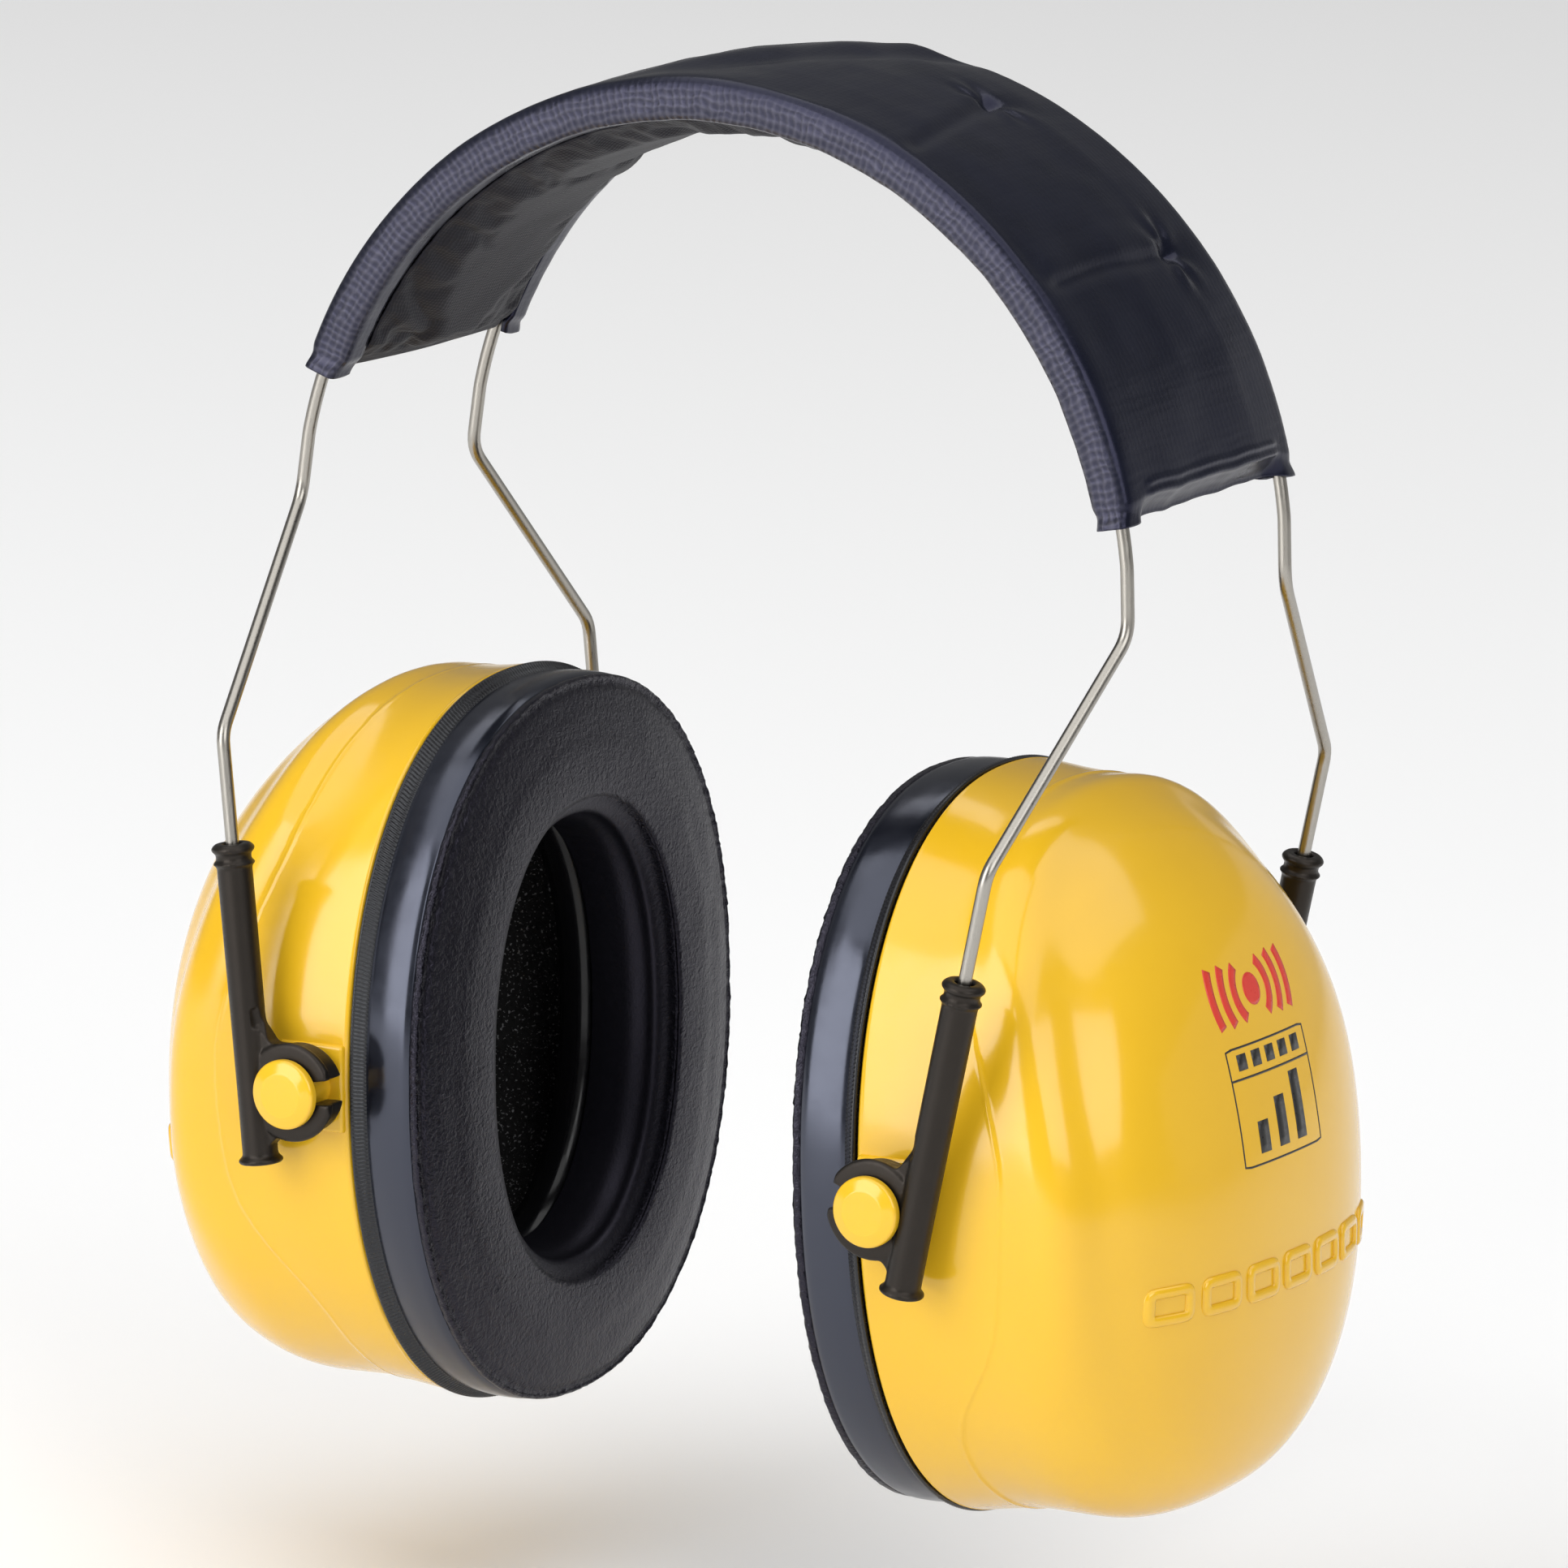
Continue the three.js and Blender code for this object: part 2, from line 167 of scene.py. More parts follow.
def evenly(points, spacing):
    """The polyline's points at an even spacing."""
    whole = lengths(points)[-1]
    return read_along(points, np.linspace(0, whole, max(2, round(whole / spacing) + 1)))


def fillet(corners, radii, steps=6):
    """A polyline with its inner corners rounded."""
    corners = np.asarray(corners, float)
    path = [corners[0]]
    for before, here, after, radius in zip(corners, corners[1:], corners[2:], radii):
        back = (before - here) / np.linalg.norm(before - here)
        ahead = (after - here) / np.linalg.norm(after - here)
        half = math.acos(max(-1, min(1, float(back @ ahead)))) / 2
        reach = radius / math.tan(half)
        for t in np.linspace(0, 1, steps + 1):
            start, end = here + back * reach, here + ahead * reach
            path.append((1 - t) ** 2 * start + 2 * t * (1 - t) * here + t * t * end)
    path.append(corners[-1])
    return np.array(path)


def noise(x, y, seed, octaves=2):
    """Smooth seeded noise of unit grain, between -1 and 1, repeating every 64 grains."""
    total, weight = 0, 0
    for octave in range(octaves):
        table = np.random.default_rng(seed + octave).uniform(-1, 1, (64, 64))
        u, v = np.asarray(x) * 2**octave, np.asarray(y) * 2**octave
        i, j = np.floor(u).astype(int), np.floor(v).astype(int)
        fu, fv = u - i, v - j
        fu, fv = fu * fu * (3 - 2 * fu), fv * fv * (3 - 2 * fv)
        rows, next_rows, cols, next_cols = i % 64, (i + 1) % 64, j % 64, (j + 1) % 64
        low = table[rows, cols] * (1 - fu) + table[next_rows, cols] * fu
        high = table[rows, next_cols] * (1 - fu) + table[next_rows, next_cols] * fu
        total = total + (low * (1 - fv) + high * fv) / 2**octave
        weight += 1 / 2**octave
    return total / weight


def stacked(*parts):
    """Points from their coordinates, which may be numbers or grids."""
    return np.stack(np.broadcast_arrays(*parts), axis=-1)


def smooth(low, high, value):
    """0 below low, 1 above high and a smooth step between them."""
    t = np.clip((np.asarray(value, float) - low) / (high - low), 0, 1)
    return t * t * (3 - 2 * t)


def hump(value, width):
    """1 at zero, dying away to both sides."""
    return np.exp(-((np.asarray(value) / width) ** 2))


def normals_of(grid, wrap=True):
    """Unit normals of a grid of points, whose second axis may wrap round."""
    if wrap:
        across = np.roll(grid, -1, axis=1) - np.roll(grid, 1, axis=1)
    else:
        across = np.gradient(grid, axis=1)
    normal = np.cross(np.gradient(grid, axis=0), across)
    return normal / np.maximum(np.linalg.norm(normal, axis=2, keepdims=True), 1e-9)


# ---- Pieces ----


def new_mesh(name, points, faces):
    """A mesh from its points and the indices of its faces."""
    mesh = bpy.data.meshes.new(name)
    mesh.from_pydata([tuple(p) for p in np.asarray(points, float)], [], [tuple(f) for f in faces])
    return mesh


def linked(name, data):
    """A new object in the scene."""
    made = bpy.data.objects.new(name, data)
    bpy.context.scene.collection.objects.link(made)
    return made


def piece(name, points, faces, body, material, slot, nodes, place):
    """Makes a smooth mesh from points in millimetres, and has it ride on its body."""
    mesh = new_mesh(name, points, faces)
    mesh.transform(place)
    outward(mesh)
    mesh.shade_smooth()
    made = linked(name, mesh)
    mesh.materials.append(material)
    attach(made, body)
    if nodes:
        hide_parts(*nodes)
    return made


def cup_piece(side, name, rings, material, slot, node=None, closed=False):
    """A piece of a cup, from rings of points in the cup's own frame."""
    faces = ring_faces(*rings.shape[:2], closed)
    nodes = [f"{side}_{node}"] if node else ()
    points = rings.reshape(-1, 3)
    return piece(f"{side}_{name}", points, faces, f"{side}_cup", material, slot, nodes, cup_place(side))


def band_piece(name, points, faces, material, slot, node):
    """A piece of the headband, from points over the studs' axis."""
    return piece(name, points.reshape(-1, 3), faces, "headband", material, slot, [node], DROP)


def outward(mesh):
    """Joins points that coincide, and turns every face outwards."""
    faired = bmesh.new()
    faired.from_mesh(mesh)
    bmesh.ops.remove_doubles(faired, verts=faired.verts, dist=1e-7)
    bmesh.ops.recalc_face_normals(faired, faces=faired.faces)
    faired.to_mesh(mesh)
    faired.free()


def ring_faces(rows, cols, closed=False):
    """Quads between rings of points; closed joins the last ring to the first."""
    faces = []
    for row in range(rows if closed else rows - 1):
        start, end = row * cols, (row + 1) % rows * cols
        faces += [
            (start + i, start + (i + 1) % cols, end + (i + 1) % cols, end + i) for i in range(cols)
        ]
    return faces


def tube_faces(rows, cols):
    """A tube's quads, and a face over each of its two ends."""
    last = (rows - 1) * cols
    return [
        *ring_faces(rows, cols),
        tuple(range(cols))[::-1],
        tuple(last + i for i in range(cols)),
    ]


def slab_faces(rows, cols):
    """A closed slab from two grids of rows x cols points, the upper grid first."""
    lower = rows * cols
    faces = []

    def at(row, col):
        return row * cols + col

    for row in range(rows - 1):
        for col in range(cols - 1):
            quad = (at(row, col), at(row, col + 1), at(row + 1, col + 1), at(row + 1, col))
            faces += [quad, tuple(lower + i for i in quad[::-1])]
    edge = [at(0, col) for col in range(cols)]
    edge += [at(row, cols - 1) for row in range(1, rows)]
    edge += [at(rows - 1, col) for col in range(cols - 2, -1, -1)]
    edge += [at(row, 0) for row in range(rows - 2, 0, -1)]
    for a, b in zip(edge, edge[1:] + edge[:1]):
        faces.append((b, a, lower + a, lower + b))
    return faces


def store(made, name, values):
    """Keeps a value in millimetres for each point, for the materials to read."""
    layer = made.data.attributes.new(name, "FLOAT_VECTOR", "POINT")
    layer.data.foreach_set("vector", np.asarray(values, np.float32).ravel())


# ---- Places ----

DROP = Matrix.Diagonal((MM, MM, MM, 1)) @ Matrix.Translation((0, 0, STUD_Z))


def cup_place(side):
    """From a cup's own frame, where x is the depth from the rim, to the row's frame."""
    turn = Matrix.Rotation(0 if side == "right" else math.pi, 4, "Z")
    tilt = Matrix.Rotation(math.asin(MOUNTS[side + "_seal"]["axis"][2]), 4, "Y")
    hung = Matrix.Translation((STUD_X, 0, 0)) @ tilt @ Matrix.Translation((RIM_X - STUD_X, 0, 0))
    return DROP @ turn @ hung


def clamp_place(side, end):
    """From a clamp's own frame, where y grows away from the cup, to the row's frame."""
    turn = Matrix.Rotation(0 if side == "right" else math.pi, 4, "Z")
    away = ENDS[end] * SIDES[side]
    lean = Matrix.Rotation(CLAMP_LEAN, 4, "Y")
    flip = Matrix.Diagonal((1, away, 1, 1))
    return DROP @ turn @ Matrix.Translation((STUD_X, away * CLAMP_Y, 0)) @ lean @ flip


def on_arch(angle, y, out):
    """A point over the head: the angle in radians, y across the band, and out from the wires."""
    radius = ARCH_RADIUS + out
    return stacked(radius * np.cos(angle), y, ARCH_CENTRE + radius * np.sin(angle))


# ---- Materials ----

PER_MM = 1 / MM  # texture scale of one grain to the millimetre


class Look:
    """A material under construction: one Principled shader, and nodes made one call at a time."""

    def __init__(self, name, color, roughness, **sockets):
        self.material = bpy.data.materials.new(name)
        self.material.use_nodes = True
        self.tree = self.material.node_tree
        self.shader = self.tree.nodes["Principled BSDF"]
        self.shader.inputs["Base Color"].default_value = (*color, 1)
        self.shader.inputs["Roughness"].default_value = roughness
        for socket, value in sockets.items():
            name = socket.replace("_", " ").title().replace("Ior", "IOR")
            self.shader.inputs[name].default_value = value

    def node(self, kind, inputs=(), output=0, **settings):
        made = self.tree.nodes.new("ShaderNode" + kind)
        for setting, value in settings.items():
            setattr(made, setting, value)
        for socket, value in dict(inputs).items():
            if isinstance(value, bpy.types.NodeSocket):
                self.tree.links.new(value, made.inputs[socket])
            else:
                made.inputs[socket].default_value = value
        return made.outputs[output]

    def math(self, operation, first, second=0.0):
        return self.node("Math", {0: first, 1: second}, operation=operation)

    def place(self, scale=(1, 1, 1)):
        """The piece's own coordinates, stretched."""
        own = self.node("TexCoord", output="Object")
        return self.node("Mapping", {"Vector": own, "Scale": scale})

    def noise(self, per_mm, detail=2.0, stretch=(1, 1, 1), distortion=0.0):
        inputs = {"Vector": self.place(stretch), "Scale": per_mm * PER_MM, "Detail": detail}
        return self.node("TexNoise", {**inputs, "Distortion": distortion})

    def ramp(self, value, low, high, to_low=0.0, to_high=1.0):
        inputs = {"Value": value, "From Min": low, "From Max": high, "To Min": to_low, "To Max": to_high}
        return self.node("MapRange", inputs)

    def mixed(self, factor, first, second):
        """A colour between two, each of them given as numbers or made by another node."""
        shades = [s if isinstance(s, bpy.types.NodeSocket) else (*s, 1) for s in (first, second)]
        return self.node("Mix", {0: factor, 6: shades[0], 7: shades[1]}, output=2, data_type="RGBA")

    def stored(self, name):
        """A value that `store` keeps for each point, and its three parts."""
        value = self.node("Attribute", output="Vector", attribute_name=name)
        return value, self.node("SeparateXYZ", {"Vector": value}).node.outputs

    def to(self, socket, value):
        self.tree.links.new(value, self.shader.inputs[socket])

    def shades(self, mask, dark, light):
        self.to("Base Color", self.mixed(mask, dark, light))

    def roughness(self, mask, low, high):
        """A roughness between two, over the middle of a noise's range."""
        self.to("Roughness", self.ramp(mask, 0.3, 0.7, low, high))

    def bump(self, height, depth_mm, strength=1.0):
        inputs = {"Height": height, "Distance": depth_mm * MM, "Strength": strength}
        self.to("Normal", self.node("Bump", inputs))


# Each material is made once, however many pieces use it.


@cache
def yellow_abs():
    made = Look("yellow_abs", (0.86, 0.50, 0.02), 0.17, coat_weight=0.3, coat_roughness=0.10)
    cloud = made.noise(0.035, 3)
    made.shades(cloud, (0.76, 0.43, 0.012), (0.82, 0.49, 0.022))
    made.roughness(made.noise(0.4, 4), 0.13, 0.20)
    made.bump(made.noise(1.1, 2), 0.003, 0.5)
    return made.material


@cache
def drawn_steel():
    made = Look("drawn_steel", (0.62, 0.59, 0.54), 0.28, metallic=1.0)
    streaks = made.noise(4, 3, stretch=(1, 1, 0.03))
    made.shades(streaks, (0.34, 0.32, 0.29), (0.42, 0.40, 0.36))
    made.roughness(streaks, 0.26, 0.34)
    made.bump(streaks, 0.002, 0.5)
    return made.material


@cache
def black_nylon():
    made = Look("black_nylon", (0.013, 0.012, 0.011), 0.38, specular_ior_level=0.36,
                specular_tint=(1.0, 0.86, 0.76, 1))
    grain = made.noise(2.4, 4)
    made.shades(made.noise(0.3, 3), (0.005, 0.0045, 0.004), (0.010, 0.009, 0.0075))
    made.roughness(grain, 0.32, 0.46)
    made.bump(grain, 0.02, 0.6)
    return made.material


def weave_height(made, pitch):
    """Crossed threads at a pitch in millimetres, along and across the band."""
    placed, parts = made.stored("weave")
    wander = made.node("TexNoise", {"Vector": placed, "Scale": 0.35, "Detail": 2.0})
    threads = []
    for output in ("X", "Y"):
        shifted = made.math("ADD", parts[output], made.math("MULTIPLY", wander, 1.6))
        wave = made.math("SINE", made.math("MULTIPLY", shifted, 2 * math.pi / pitch))
        threads.append(made.math("POWER", made.ramp(wave, -1, 1), 1.6))
    return made.math("MULTIPLY", made.math("ADD", *threads), 0.5), parts["Z"]


@cache
def navy_vinyl():
    made = Look("navy_vinyl", (0.010, 0.012, 0.022), 0.3, specular_ior_level=0.36,
                specular_tint=(0.63, 0.62, 1.0, 1))
    threads, wall = weave_height(made, 1.1)
    patch = made.noise(0.12, 3)
    skin = made.mixed(patch, (0.0035, 0.0045, 0.009), (0.006, 0.0075, 0.015))
    # Painted highlight: the band's side wall gets a lighter base colour, strongest on the weave's threads,
    # standing in for the key light's reflection there.
    painted_wall_highlight = made.math("MULTIPLY", wall, made.ramp(threads, 0, 1, 0.25, 1))
    made.shades(painted_wall_highlight, skin, (0.074, 0.073, 0.090))
    made.to("Roughness", made.ramp(patch, 0.35, 0.65, 0.25, 0.33))
    strength = made.ramp(wall, 0, 1, 0.16, 1.0)
    grain = made.math("MULTIPLY", made.noise(2.2, 3), 0.25)
    height = made.math("ADD", made.math("MULTIPLY", threads, strength), grain)
    made.bump(height, 0.08, 0.9)
    return made.material


@cache
def grey_lining():
    made = Look("grey_lining", (0.030, 0.030, 0.034), 0.55, specular_ior_level=0.25,
                specular_tint=(0.84, 0.82, 1.0, 1))
    threads, _ = weave_height(made, 0.55)
    made.shades(made.noise(0.15, 3), (0.009, 0.009, 0.011), (0.015, 0.015, 0.018))
    made.to("Roughness", made.ramp(threads, 0, 1, 0.62, 0.48))
    made.bump(threads, 0.06, 0.8)
    return made.material


@cache
def moulded_pvc():
    made = Look("moulded_pvc", (0.008, 0.009, 0.013), 0.2, specular_ior_level=1.0,
                specular_tint=(0.735, 0.785, 1.0, 1))
    made.shades(made.noise(0.1, 3), (0.004, 0.0045, 0.007), (0.007, 0.008, 0.012))
    made.roughness(made.noise(0.25, 4), 0.16, 0.27)
    made.bump(made.noise(1.6, 3), 0.008, 0.5)
    return made.material


@cache
def ribbed_pvc():
    made = Look("ribbed_pvc", (0.012, 0.012, 0.014), 0.25, specular_tint=(0.9, 0.94, 1.0, 1))
    made.shades(made.noise(0.3, 3), (0.009, 0.009, 0.010), (0.018, 0.017, 0.018))
    made.roughness(made.noise(1.5, 3), 0.2, 0.3)
    return made.material


@cache
def grained_film():
    made = Look("grained_film", (0.013, 0.013, 0.015), 0.42, specular_ior_level=0.4,
                specular_tint=(0.80, 0.75, 1.0, 1))
    _, parts = made.stored("section")
    grained = made.ramp(parts["X"], 0.05, 0.2)
    pebbles = made.noise(1.35, 3, distortion=0.6)
    fine = made.noise(4, 2)
    height = made.math("ADD", pebbles, made.math("MULTIPLY", fine, 0.35))
    made.shades(pebbles, (0.003, 0.003, 0.0045), (0.008, 0.008, 0.011))
    bead = made.ramp(parts["X"], 0.9, 0.96)
    dull = made.ramp(grained, 0, 1, 0.45, 0.34)
    made.to("Roughness", made.math("SUBTRACT", dull, made.math("MULTIPLY", bead, 0.13)))
    made.bump(made.math("MULTIPLY", height, made.ramp(grained, 0, 1, 0.15, 1)), 0.26, 1.0)
    return made.material


@cache
def black_foam():
    made = Look("black_foam", (0.012, 0.012, 0.013), 0.9)
    cells = made.node("TexVoronoi", {"Vector": made.place(), "Scale": 1.9 * PER_MM}, output="Distance")
    specks = made.ramp(made.noise(2.4, 1), 0.62, 0.72)
    made.shades(specks, (0.014, 0.014, 0.014), (0.30, 0.30, 0.31))
    made.to("Roughness", made.ramp(specks, 0, 1, 0.95, 0.5))
    made.bump(cells, 0.25, 0.9)
    return made.material


@cache
def black_plate():
    made = Look("black_plate", (0.005, 0.005, 0.006), 0.2, specular_ior_level=0.3)
    made.roughness(made.noise(0.6, 3), 0.12, 0.24)
    made.shades(made.noise(0.2, 3), (0.004, 0.004, 0.005), (0.007, 0.007, 0.008))
    return made.material


def ink(name, dark, light):
    made = Look(name, light, 0.3)
    made.shades(made.noise(0.8, 3), dark, light)
    made.roughness(made.noise(1.5, 3), 0.26, 0.4)
    return made.material


@cache
def red_ink():
    return ink("red_ink", (0.60, 0.035, 0.022), (0.72, 0.05, 0.03))


@cache
def black_ink():
    return ink("black_ink", (0.012, 0.012, 0.012), (0.022, 0.021, 0.020))


# ---- Cups ----

CUP_COLUMNS = 192
CUP_ANGLES = turns(CUP_COLUMNS)
STATION_PLACES = lengths(STATIONS[:, :2])
INBOARD_ROWS, OUTBOARD_ROWS = 22, 84  # on the two sides of the parting line

# Depth of the moulding's parting line, and of the soft ridge round its outer face, at each height.
PARTING = (
    [-52, -46, -38, -31, -21, -6, 2, 12, 26, 40, 52],
    [8.6, 8.9, 9, 11, 17.4, 20.8, 21.2, 19.4, 14.7, 11.5, 9.5],
)
RIDGE = (
    [-52, -44, -33, -18, -11, 4, 17, 26, 39, 45, 52],
    [29, 31.4, 32.6, 33.4, 33.1, 31.8, 29, 26.2, 20.4, 19, 17],
)
GROOVE_ROWS = (-0.9, -0.45, -0.2, 0, 0.2, 0.45, 0.9)  # millimetres from the parting line
GROOVE_DEPTH, GROOVE_WIDTH = 0.16, 0.22
VALLEY_DEPTH = 1.3
CREST_HEIGHT = 0.65
RIM_EDGE = 0.35  # width of the rim's rounded edges


def polar(angle, half_width, half_height):
    """Distance from the middle to a squared oval at an angle."""
    across = np.abs(np.cos(angle) / np.maximum(half_width, 1e-6)) ** OVAL_POWER
    upright = np.abs(np.sin(angle) / np.maximum(half_height, 1e-6)) ** OVAL_POWER
    return (across + upright) ** (-1 / OVAL_POWER)


def cup_surface(place, angle, scale=1.0):
    """A point of the cup's form, by how far it is along the stations and by its angle."""
    past = np.array([[42.1, -9.5, -9.5, -13.4], [40.6, -19, -19.5, -14.9]])
    gaps = STATION_PLACES[-1] - STATION_PLACES[[-2, -3]]
    knots = np.concatenate([STATION_PLACES, STATION_PLACES[-1] + gaps])
    depth, width, height, middle = np.moveaxis(spline(knots, np.vstack([STATIONS, past]), place), -1, 0)
    far = polar(angle, width, height) * (width > 1e-3)
    return stacked(depth, far * np.cos(angle), middle + far * np.sin(angle)) * scale


def cup_grid():
    """The cup's outer surface: rows from the rim to the apex, with close rows along its parting line."""
    fine = np.linspace(0, STATION_PLACES[-1], 400)
    table = cup_surface(fine[:, None], CUP_ANGLES[None, :])
    beyond = table[:, :, 0] > spline(*PARTING, table[:, :, 2])
    parting = fine[np.argmax(beyond, axis=0)]
    margin = GROOVE_ROWS[-1] + 0.3
    inboard = np.linspace(0, 1, INBOARD_ROWS)[:, None] * (parting - margin)
    line = parting + np.array(GROOVE_ROWS)[:, None]
    left = fine[-1] - parting - margin
    outboard = parting + margin + np.linspace(0, 1, OUTBOARD_ROWS)[:, None] * left
    far_off = 9.0  # stands for every row outside the groove
    off = np.concatenate([np.full(INBOARD_ROWS, -far_off), GROOVE_ROWS, np.full(OUTBOARD_ROWS, far_off)])
    grid = cup_surface(np.vstack([inboard, line, outboard]), CUP_ANGLES[None, :])
    return grid + normals_of(grid) * cup_relief(grid, off)[..., None]


def cup_relief(grid, off):
    """How far each point of the cup stands out. At the sides a valley runs between the parting line
    and the ridge. The relief stops short of the apex."""
    depth, y, z = np.moveaxis(grid, -1, 0)
    parting, ridge = spline(*PARTING, z), spline(*RIDGE, z)
    side = smooth(6, 26, np.abs(y))
    groove = -GROOVE_DEPTH * hump(off, GROOVE_WIDTH)[:, None]
    step = GROOVE_DEPTH * (depth > parting) * (1 - smooth(0, 7, depth - parting))
    valley_middle = 0.42 * parting + 0.58 * ridge
    valley = -VALLEY_DEPTH * hump(depth - valley_middle, 4.4) * smooth(-44, -6, z) * side
    top_valley = -0.5 * hump(depth - 15, 2.6) * (1 - side) * smooth(20, 40, z)
    crest = CREST_HEIGHT * hump(depth - ridge - 0.8, 2.8)
    crest = crest * (0.25 + 0.75 * side) * (1 - 0.6 * smooth(14, 38, z))
    return groove + (step + valley + top_valley + crest) * smooth(41.9, 40.5, depth)


def cup_shell(side):
    """The moulded shell: its inside, the rim with two rounded edges, and its outside."""
    outer = cup_grid()
    inner_places = np.linspace(STATION_PLACES[-1], 0, INBOARD_ROWS)[:, None]
    inner = cup_surface(inner_places, CUP_ANGLES[None, :], WALL)
    rim = cup_surface(np.zeros((1, 1)), CUP_ANGLES[None, :])
    edges = [rim * (1, scale, scale) for scale in (WALL + 0.008, 0.992)]
    outer[0, :, 0] += RIM_EDGE
    rings = np.concatenate([inner, *edges, outer])
    cup_piece(side, "cup_shell_moulding", rings, yellow_abs(), "yellow_shell", "cup_shell")


def outer_face():
    """Reads a cup's outer surface: a function from (y, z) to its depth."""
    grid = cup_grid()
    faces = ring_faces(len(grid), CUP_COLUMNS)
    tree = BVHTree.FromPolygons([Vector(p) for p in grid.reshape(-1, 3)], faces)

    def depth(y, z):
        return tree.ray_cast(Vector((80, y, z)), Vector((-1, 0, 0)))[0][0]

    return depth


def studs(side):
    """The pads, necks and domed heads that the clamps snap on to, moulded on the shell."""
    head = [(0, 51.0), (3.0, 50.95), (4.75, 50.35), (4.75, 49.2)]
    neck = [(3.2, 49.15), (3.2, 40.2), (0, 40.2)]
    profile = fillet(head + neck, (1.2, 0.7, 0.12, 0.1, 0.1))
    turn = turns(64)
    radius, far = profile[:, 0, None], profile[:, 1, None]
    stud = stacked(radius * np.cos(turn), far, radius * np.sin(turn))
    for end, away in ENDS.items():
        flip = np.array((1, away * SIDES[side], 1))
        rings = (stud + (STUD_X - RIM_X, 0, 0)) * flip
        cup_piece(side, f"cup_{end}_stud", rings, yellow_abs(), "yellow_shell")
        stud_pad(side, end, flip)


def stud_pad(side, end, flip):
    """The squared pad under a clamp's ring, which runs to the rim."""
    low, high, bottom, top, root, face = 0.5, 10.8, -6.6, 6.2, 40.0, 43.3
    pad = bmesh.new()
    bmesh.ops.create_cube(pad, size=1)
    for vert in pad.verts:
        x, y, z = vert.co + Vector((0.5, 0.5, 0.5))
        taper = 0.5 * y
        vert.co = (low + (high - low - taper) * x, root + (face - root) * y,
                   bottom + taper + (top - bottom - 2 * taper) * z)
    bmesh.ops.bevel(pad, geom=pad.edges[:], offset=0.45, segments=3, affect="EDGES", profile=0.5)
    points = np.array([vert.co for vert in pad.verts]) * flip
    faces = [[vert.index for vert in face.verts] for face in pad.faces]
    pad.free()
    name, body = f"{side}_cup_{end}_pad", f"{side}_cup"
    piece(name, points, faces, body, yellow_abs(), "yellow_shell", (), cup_place(side))


def shrunk(size, rows):
    """The cup's form inside its shell, at a size against the outside."""
    places = np.linspace(STATION_PLACES[1], STATION_PLACES[-1], rows)[:, None]
    return cup_surface(places, turns(128)[None, :], size)


def foam_liner(side):
    """Open-cell foam folded into the cup: a thick bowl, creased across where its sheets meet."""
    outer, inner = shrunk(0.93, 14), shrunk(0.78, 60)
    _, y, z = np.moveaxis(inner, -1, 0)
    crease = 1.6 * hump(z + 9 + 1.5 * np.sin(y / 9), 1.3) + 1.1 * hump(z - 12 + np.sin(y / 7), 1.1)
    cells = 0.35 * noise(y / 1.1 + 9, z / 1.1 + 9, 5)
    inner = inner + normals_of(inner) * (crease + cells)[..., None]
    rings = np.concatenate([outer[::-1], inner])
    made = cup_piece(side, "foam_liner", rings, black_foam(), "liner_foam", "cup_foam_liner")


def cup_ring(section, columns, wrinkle=None):
    """A closed ring round the ear opening, from its section: how far out each point is from the
    opening (0) to the cushion's outer edge (1), and its height from the rim towards the head."""
    part, height = np.moveaxis(np.asarray(section), -1, 0)
    angle = turns(columns)[None, :]
    halves = [low + (high - low) * part[:, None] for low, high in zip(CUSHION_OPENING, CUSHION_OUTER)]
    far = polar(angle, *halves)
    lift = wrinkle(part[:, None], height[:, None], angle) if wrinkle else 0
    return stacked(-(height[:, None] + lift), far * np.cos(angle), far * np.sin(angle))


def backplate(side):
    """The plate in the cup's mouth, whose collar shows inside the cushion's opening."""
    plate = [(0.03, -0.4), (0.95, -0.4), (0.95, -2.2), (0.11, -2.2)]
    collar = [(0.105, -5.4), (0.035, -5.4), (0.03, -0.4)]
    section = fillet(plate + collar, (0.01, 0.01, 0.02, 0.02, 0.02), steps=3)[:-1]
    rings = cup_ring(section, 128)
    cup_piece(side, "inner_plate", rings, black_plate(), "inner_plate", "cup_backplate", closed=True)


# ---- Cushions ----

# Sections are given as for cup_ring: the part of the way out, and the height from the rim.


def cushion_side(side):
    """The moulded wall: a flat back on the plate, a waist beside the flange and a soft swelling."""
    outside = along([
        (0.965, 1.2), (0.968, 1.8), (0.98, 2.4), (0.99, 3.3), (0.998, 4.6), (1.002, 6.0), (1.001, 7.4),
        (0.992, 8.6), (0.977, 9.2),
    ], 26)
    section = np.vstack([
        [(0.07, 0.4), (0.5, 0.4), (0.955, 0.4), (0.97, 0.6)],
        outside,
        [(0.955, 9.0), (0.945, 8.2), (0.955, 6), (0.945, 4), (0.935, 1.5), (0.5, 1.4), (0.07, 1.4)],
    ])
    rings = cup_ring(section, 320)
    cup_piece(side, "cushion_wall", rings, moulded_pvc(), "cushion_side", "cushion_side_skin", closed=True)


